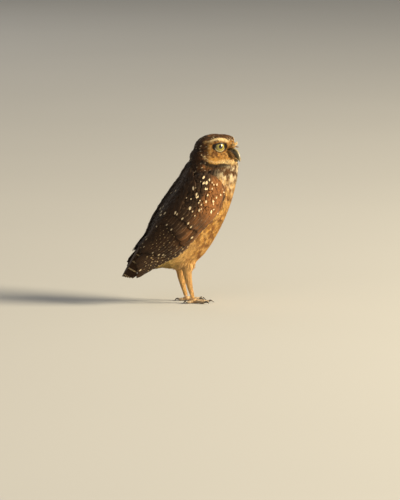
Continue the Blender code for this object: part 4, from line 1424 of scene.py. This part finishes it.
# The bill's sections in the head's directions: ridge forward and up, edge forward and up, half width.
UPPER_BILL = (
    (17.0, 6.4, 14.0, -4.0, 5.4),
    (23.5, 5.8, 19.0, -5.6, 5.5),
    (29.0, 4.0, 24.0, -7.4, 5.0),
    (33.2, 0.6, 28.2, -9.3, 4.2),
    (35.8, -3.9, 31.6, -11.2, 3.1),
    (37.0, -9.0, 34.3, -13.0, 1.9),
    (37.0, -13.6, 36.0, -14.9, 0.7),
)
LOWER_BILL = (
    (14.0, -4.0, 14.0, -10.0, 4.9),
    (19.3, -5.7, 19.0, -11.2, 4.9),
    (24.5, -7.4, 24.0, -12.6, 4.3),
    (28.7, -9.2, 28.0, -13.9, 3.4),
    (31.7, -11.0, 31.0, -14.6, 2.2),
    (33.6, -12.6, 32.8, -14.6, 0.9),
)
NOSTRIL = (28.4, 3.9, 1.2)
# The bill's horn in two copies: a dark one with painted shade for the sides and the lower half, and a pale
# one with painted highlight for the ridge and the tips.
SHADED_HORN, LIT_HORN = (0.042, 0.034, 0.016), (0.32, 0.265, 0.13)


def make_bill_half(name, sections, pointed_up, material):
    """One half of the bill from its sections, narrower at its ridge, with the nostrils sunk into it."""
    segments = 36
    turns = np.radians((np.arange(segments) + 0.5) * 360 / segments)
    high, wide = np.cos(turns), np.sin(turns)
    squeeze = 1.0 - 0.42 * np.maximum(0.0, high * pointed_up) ** 2
    reach = np.where(high * pointed_up > 0, 1.0, 0.8)
    rings = []
    stations = rows_at(sections, np.linspace(0, len(sections) - 1, 40))
    for ridge_f, ridge_u, edge_f, edge_u, half_width in stations:
        f = (ridge_f + edge_f) / 2 + (ridge_f - edge_f) / 2 * high * reach
        u = (ridge_u + edge_u) / 2 + (ridge_u - edge_u) / 2 * high * reach
        rings.append(np.stack([f, half_width * squeeze * wide, u], axis=1))
    local, faces = loft(rings)
    faces = outward(local, faces)
    ridge = np.tile(np.maximum(high, 0) ** 2, 40)
    ridge = np.append(ridge, (0.0, 0.0))
    away = np.linalg.norm(local * np.array((1, 0, 1)) - np.array((NOSTRIL[0], 0, NOSTRIL[2])), axis=1)
    pit = smoothstep(1.7, 0.5, away) * (np.abs(local[:, 1]) > 2.0) * (pointed_up > 0)
    local[:, 1] *= 1 - 0.28 * pit
    tip = smoothstep(-6.0, -13.0, local[:, 2])
    if pointed_up > 0:
        # A pale band along the ridge and a paler tip: painted highlight. The dark sides are painted shade,
        # darker still towards the base.
        tint = mix(SHADED_HORN, LIT_HORN, smoothstep(0.62, 0.98, ridge) * 0.9)
        tint = mix(tint, LIT_HORN, tip * 0.35)
        tint = mix(tint, np.array(SHADED_HORN) * 0.8, smoothstep(31.0, 26.0, local[:, 0]) * 0.6)
    else:
        # The lower half: darker with painted shade, paler to its tip with painted highlight.
        tint = mix(np.array(SHADED_HORN) * 0.7, LIT_HORN, smoothstep(26.0, 32.0, local[:, 0]) * 0.5)
    # Near black in the nostrils: painted shade inside their openings.
    tint = mix(tint, (0.004, 0.003, 0.002), pit)
    turn = np.append(np.tile(np.arange(segments) / segments, 40), (0.5, 0.5))
    along = np.append(np.repeat(np.arange(40) / 40, segments), (0.0, 0.99))
    uv = np.stack([0.02 + 0.96 * turn, 0.02 + 0.96 * along], axis=1)
    node = name.replace("horn", "bill")
    add_object(name, from_head(local), faces, material, "bill", replaced=(node,), tint=tint, chart=uv)


def hairs(roots, directions, bends, lengths, radii, steps=6):
    """Tapered, bending hairs as closed three-sided tubes: points, faces and shares of the length."""
    count = len(roots)
    share = np.linspace(0, 1, steps)
    curve = directions[:, None] * share[None, :, None] + bends[:, None] * (share**2)[None, :, None]
    line = roots[:, None] + lengths[:, None, None] * curve
    ahead = unit(directions[:, None] + 2 * bends[:, None] * share[None, :, None])
    side = unit(np.cross(ahead, np.array((0.31, 0.52, 0.79))))
    up = np.cross(side, ahead)
    turns = np.radians((90.0, 210.0, 330.0))
    thin = radii[:, None] * (1 - 0.85 * share[None]) ** 0.8
    over = side[:, :, None] * (np.cos(turns)[None, None, :, None] * thin[:, :, None, None])
    out = up[:, :, None] * (np.sin(turns)[None, None, :, None] * thin[:, :, None, None])
    ring = line[:, :, None] + over + out
    faces = repeated(closed_faces(steps, 3), count, 3 * steps)
    shares = np.broadcast_to(share[None, :, None], (count, steps, 3)).reshape(-1)
    return ring.reshape(-1, 3), faces, shares


def make_bristles(skin, material):
    """The stiff hairs round the bill's base, and the pale tufts at the brows' inner ends."""
    rng = np.random.default_rng(61)
    roots, directions, bends, lengths, radii, tints = [], [], [], [], [], []
    for _, side in SIDES:
        for _ in range(230):
            t = rng.random()
            f, l, u = 23.0 + 4.0 * rng.random(), 5.2 + 3.2 * rng.random(), 4.5 - 13.0 * t
            roots.append((f, side * l, u))
            sideways = side * (0.42 - 0.1 * t + 0.2 * rng.random())
            directions.append((0.9, sideways, 0.30 - 0.65 * t + 0.3 * rng.random()))
            bends.append((0.0, -side * (0.30 + 0.1 * rng.random()), -0.35))
            lengths.append(5.5 + 5.0 * rng.random())
            radii.append(0.14)
            tints.append(mix(BAR, BUFF, rng.random() * 0.6))
        for _ in range(70):
            f, l, u = 28.0 + 3.5 * rng.random(), 2.0 + 4.5 * rng.random(), 6.5 + 4.5 * rng.random()
            roots.append((f, side * l, u))
            directions.append((0.80, side * (0.30 + 0.35 * rng.random()), 0.30 + 0.45 * rng.random()))
            bends.append((-0.12, side * 0.05, 0.08))
            lengths.append(3.2 + 2.4 * rng.random())
            radii.append(0.24)
            tints.append(mix(CREAM, ORANGE, rng.random() * 0.35))
    roots, _ = skin.snap(from_head(np.array(roots)))
    directions = unit(np.array(directions)) @ HEAD_AXES
    bends = np.array(bends) @ HEAD_AXES
    points, faces, shares = hairs(roots, directions, bends, np.array(lengths), np.array(radii))
    tint = np.repeat(np.array(tints), 18, axis=0) * (1.1 - 0.35 * shares)[:, None]
    uv = np.repeat(chart(roots, roots), 18, axis=0) + (shares[:, None] - 0.5) * TUFT_PATCH
    add_object("bristles", points, faces, material, "plumage", tint=tint, chart=uv)


# Feet

TOE_GREY, TOE_DARK = (0.34, 0.255, 0.165), (0.13, 0.09, 0.055)
SCUTE = 2.1


def sole_chart(points, faces, low, side, width):
    """The top and the sole of the foot side by side on the unwrap, one place for each corner."""
    flat = (points[faces].reshape(-1, 3)[:, :2] - np.array((FOOT_X, side * FOOT_Y))) / width
    return flat + np.where(np.repeat(low, 4)[:, None], (0.25, 0.3), (0.72, 0.72))


def make_foot(side_name, side, material):
    """The toes with the cross plates on their upper side."""
    points, normals, faces = remeshed((f"foot_{side_name}",), 0.0, 0.42, 2)
    hub = np.array((FOOT_X, side * FOOT_Y))
    reach = np.linalg.norm(points[:, :2] - hub, axis=1)
    ridge = np.abs(np.sin(math.pi * reach / SCUTE)) ** 0.5
    upper = smoothstep(0.15, 0.55, normals[:, 2]) * smoothstep(4.5, 7.0, reach)
    grains = noise(points, 0.9, 51)
    height = upper * 0.26 * (ridge - 1) + (1 - upper) * 0.16 * (grains - 1)
    points = points + normals * height[:, None]
    points[:, 2] = np.maximum(points[:, 2], 0.0)
    tint = mix(TOE_GREY, TOE_DARK, np.clip((1 - ridge) * upper + 0.4 * (1 - upper) * (1 - grains), 0, 1))
    tint = mix(tint, np.array(PEACH) * 0.75, smoothstep(8.0, 3.0, reach) * 0.7)
    low = (normals[:, 2] < 0)[faces].mean(1) > 0.5
    add_object(
        f"toes_{side_name}", points, faces, material, "leg_skin", replaced=(f"foot_{side_name}",),
        tint=tint, chart=sole_chart(points, faces, low, side, 66),
    )


def make_claws(side_name, side, material):
    """Four curved claws, dark horn in random lighter and darker lumps."""
    names = [f"claw_{toe}_{side_name}" for toe in ("inner", "middle", "outer", "hind")]
    points, normals, faces = remeshed(names, 0.12, 0.24, 2)
    points[:, 2] = np.maximum(points[:, 2], 0.0)
    tint = mix((0.075, 0.060, 0.048), (0.018, 0.014, 0.012), noise(points, 3.0, 52))
    low = normals[faces][:, :, 2].mean(1) < 0
    add_object(
        f"talons_{side_name}", points, faces, material, "claw", replaced=tuple(names),
        tint=tint, chart=sole_chart(points, faces, low, side, 84),
    )


# Run

PLUMAGE = feather_material("body_feather", 0.2, 0.35)
FLIGHT = feather_material("wing_feather", 0.6, 0.4, barb_mm=0.6, barred=True)
FINE = feather_material("fine_feather", 0.1, 0.25, barb_mm=0.5, mottle=0.3, contrast=0.6)
COVERTS = feather_material("covert_feather", 0.55, 0.35, barb_mm=0.6, contrast=0.8)
EYE = eye_material()
LID = plain_material("lid_skin", 0.42, 0.5, 0.3, 0.08)
HORN_FINISH = plain_material("horn", 0.34, 0.6, 0.22, 0.05, Coat_Weight=0.15, Coat_Roughness=0.25)
BRISTLE = plain_material("bristle", 0.55, 0.8, 0.3, 0.02)
TOES = plain_material("toe_skin", 0.62, 0.5, 0.3, 0.1)
CLAW = plain_material("claw_horn", 0.28, 0.7, 0.35, 0.03, Coat_Weight=0.2, Coat_Roughness=0.2)

skin_points, skin_faces = make_skin()
skin = Skin(skin_points, skin_faces)
centres = skin_points[skin_faces].mean(1)
skin_chart = chart(skin_points[skin_faces].reshape(-1, 3), np.repeat(centres, 4, axis=0))
add_object(
    "skin", skin_points, skin_faces, FINE, "plumage", replaced=FLESH,
    chart=skin_chart, tint=coat_colour(skin_points) * 0.8, **unmarked(skin_points),
)

breast = trunk_region(True, end=5.4)
upper_breast = trunk_region(True, end=5.4, low=135.0)
lower_breast = trunk_region(True, end=5.4, high=135.0)
vent = trunk_region(True, start=5.4)
back = trunk_region(False)

# Each stretch: the roots' spacing, the feathers' length, half width, lifts, outline and columns.
make_coat(skin, "coat_face", face_region, 1.15, 3.8, 0.72, (0.1, 0.8), SMALL_VANE, 3, 50000, 101,
          FINE, scale=face_size)
make_coat(skin, "coat_crown", crown_region, 1.7, 6.0, 1.7, (0.2, 1.7), SMALL_VANE, 5, 30000, 102, FINE)
make_coat(skin, "coat_breast", breast, 2.4, 12.5, 3.0, (0.3, 1.6), VANE, 5, 40000, 103, PLUMAGE,
          middle_share=0.5, shade=0.12, roll=0.03, camber=0.08)
for part, region, seed in (("upper", upper_breast, 107), ("lower", lower_breast, 108)):
    make_coat(skin, f"coat_breast_{part}", region, 1.1, 7.5, 0.36, (1.1, 2.3), LOCK, 3, 50000, seed, FINE,
              middle_share=0.6, roll=0.05, shade=0.12, thick=0.08)
make_coat(skin, "coat_vent", vent, 1.35, 9.0, 0.8, (0.5, 2.5), LOCK, 3, 40000, 104, FINE,
          roll=0.06, shade=0.14)
make_coat(skin, "coat_back", back, 3.0, 12.0, 3.6, (0.3, 2.8), VANE, 5, 30000, 105, PLUMAGE)
make_coat(skin, "coat_legs", on_leg, 1.1, 4.6, 0.42, (0.1, 0.7), LOCK, 3, 30000, 106, FINE,
          roll=0.05, shade=0.12)

for side_name, side in SIDES:
    core_points, core_faces = wing_core(side)
    add_object(
        f"wing_arm_{side_name}", core_points, core_faces, COVERTS, "flight_feathers",
        chart=chart(core_points, core_points), tint=wing_colour(core_points) * 0.8, **unmarked(core_points),
    )
    make_wing(side_name, side)
    make_coverts(side_name, side)
    make_eye(f"eyeball_{side_name}", side, EYE)
    make_lids(f"lids_{side_name}", side, LID)
    make_foot(side_name, side, TOES)
    make_claws(side_name, side, CLAW)
make_mantle()
make_bill_half("horn_upper", UPPER_BILL, 1.0, HORN_FINISH)
make_bill_half("horn_lower", LOWER_BILL, -1.0, HORN_FINISH)
make_bristles(skin, BRISTLE)
make_tail()


# Floor, light and camera

def view_axes():
    turn, rise = math.radians(VIEW_TURN), math.radians(VIEW_RISE)
    look = np.array((-math.sin(turn) * math.cos(rise), math.cos(turn) * math.cos(rise), -math.sin(rise)))
    right = np.array((math.cos(turn), math.sin(turn), 0.0))
    return look, right, np.cross(right, look)


def make_camera():
    look, right, up = view_axes()
    data = bpy.data.cameras.new("camera")
    camera = bpy.data.objects.new("camera", data)
    bpy.context.scene.collection.objects.link(camera)
    target = SHIFT + (right * VIEW_RIGHT + up * VIEW_UP) * MM
    camera.location = target - look * CAMERA_DISTANCE * MM
    camera.rotation_euler = Vector(look).to_track_quat("-Z", "Y").to_euler()
    data.sensor_width = SENSOR
    data.lens = SENSOR * CAMERA_DISTANCE / (PHOTO_HEIGHT * PHOTO_SCALE)
    data.clip_start, data.clip_end = 0.1, 200.0
    bpy.context.scene.camera = camera


def area_light(name, direction, distance, size, watts, colour):
    data = bpy.data.lights.new(name, "AREA")
    data.energy, data.size, data.color = watts, size, colour
    light = bpy.data.objects.new(name, data)
    bpy.context.scene.collection.objects.link(light)
    towards = unit(np.array(direction, float))
    light.location = np.array((0.0, 0.0, 0.12)) + towards * distance
    light.rotation_euler = Vector(-towards).to_track_quat("-Z", "Y").to_euler()


FLOOR = 30.0


def make_stage():
    mesh = bpy.data.meshes.new("floor")
    corners = [(-FLOOR, -FLOOR, 0), (FLOOR, -FLOOR, 0), (FLOOR, FLOOR, 0), (-FLOOR, FLOOR, 0)]
    mesh.from_pydata(corners, [], [(0, 1, 2, 3)])
    n = Nodes("floor", 1.0, Specular_IOR_Level=0.0)
    n.finish(n.mix(n.noise(900.0), (0.47, 0.49, 0.52), (0.50, 0.52, 0.55)))
    mesh.materials.append(n.material)
    floor = bpy.data.objects.new("floor", mesh)
    bpy.context.scene.collection.objects.link(floor)
    world = bpy.data.worlds.new("studio")
    bpy.context.scene.world = world
    world.use_nodes = True
    background = world.node_tree.nodes["Background"]
    background.inputs["Color"].default_value = (1.0, 0.965, 0.90, 1.0)
    background.inputs["Strength"].default_value = 0.24
    bpy.context.scene.view_settings.view_transform = "Standard"
    bpy.context.scene.view_settings.look = "None"
    look, right, _ = view_axes()
    overhead = np.array((0.0, 0.0, 1.0))
    area_light("key", right - 0.22 * look + 0.42 * overhead, 6.0, 2.6, 1060.0, (1.0, 0.82, 0.53))
    area_light("back", look - 0.6 * right + 0.5 * overhead, 6.0, 4.0, 45.0, (1.0, 0.93, 0.84))
    area_light("fill", -0.4 * right - look + 0.6 * overhead, 6.0, 4.0, 36.0, (1.0, 0.96, 0.90))


make_stage()
make_camera()
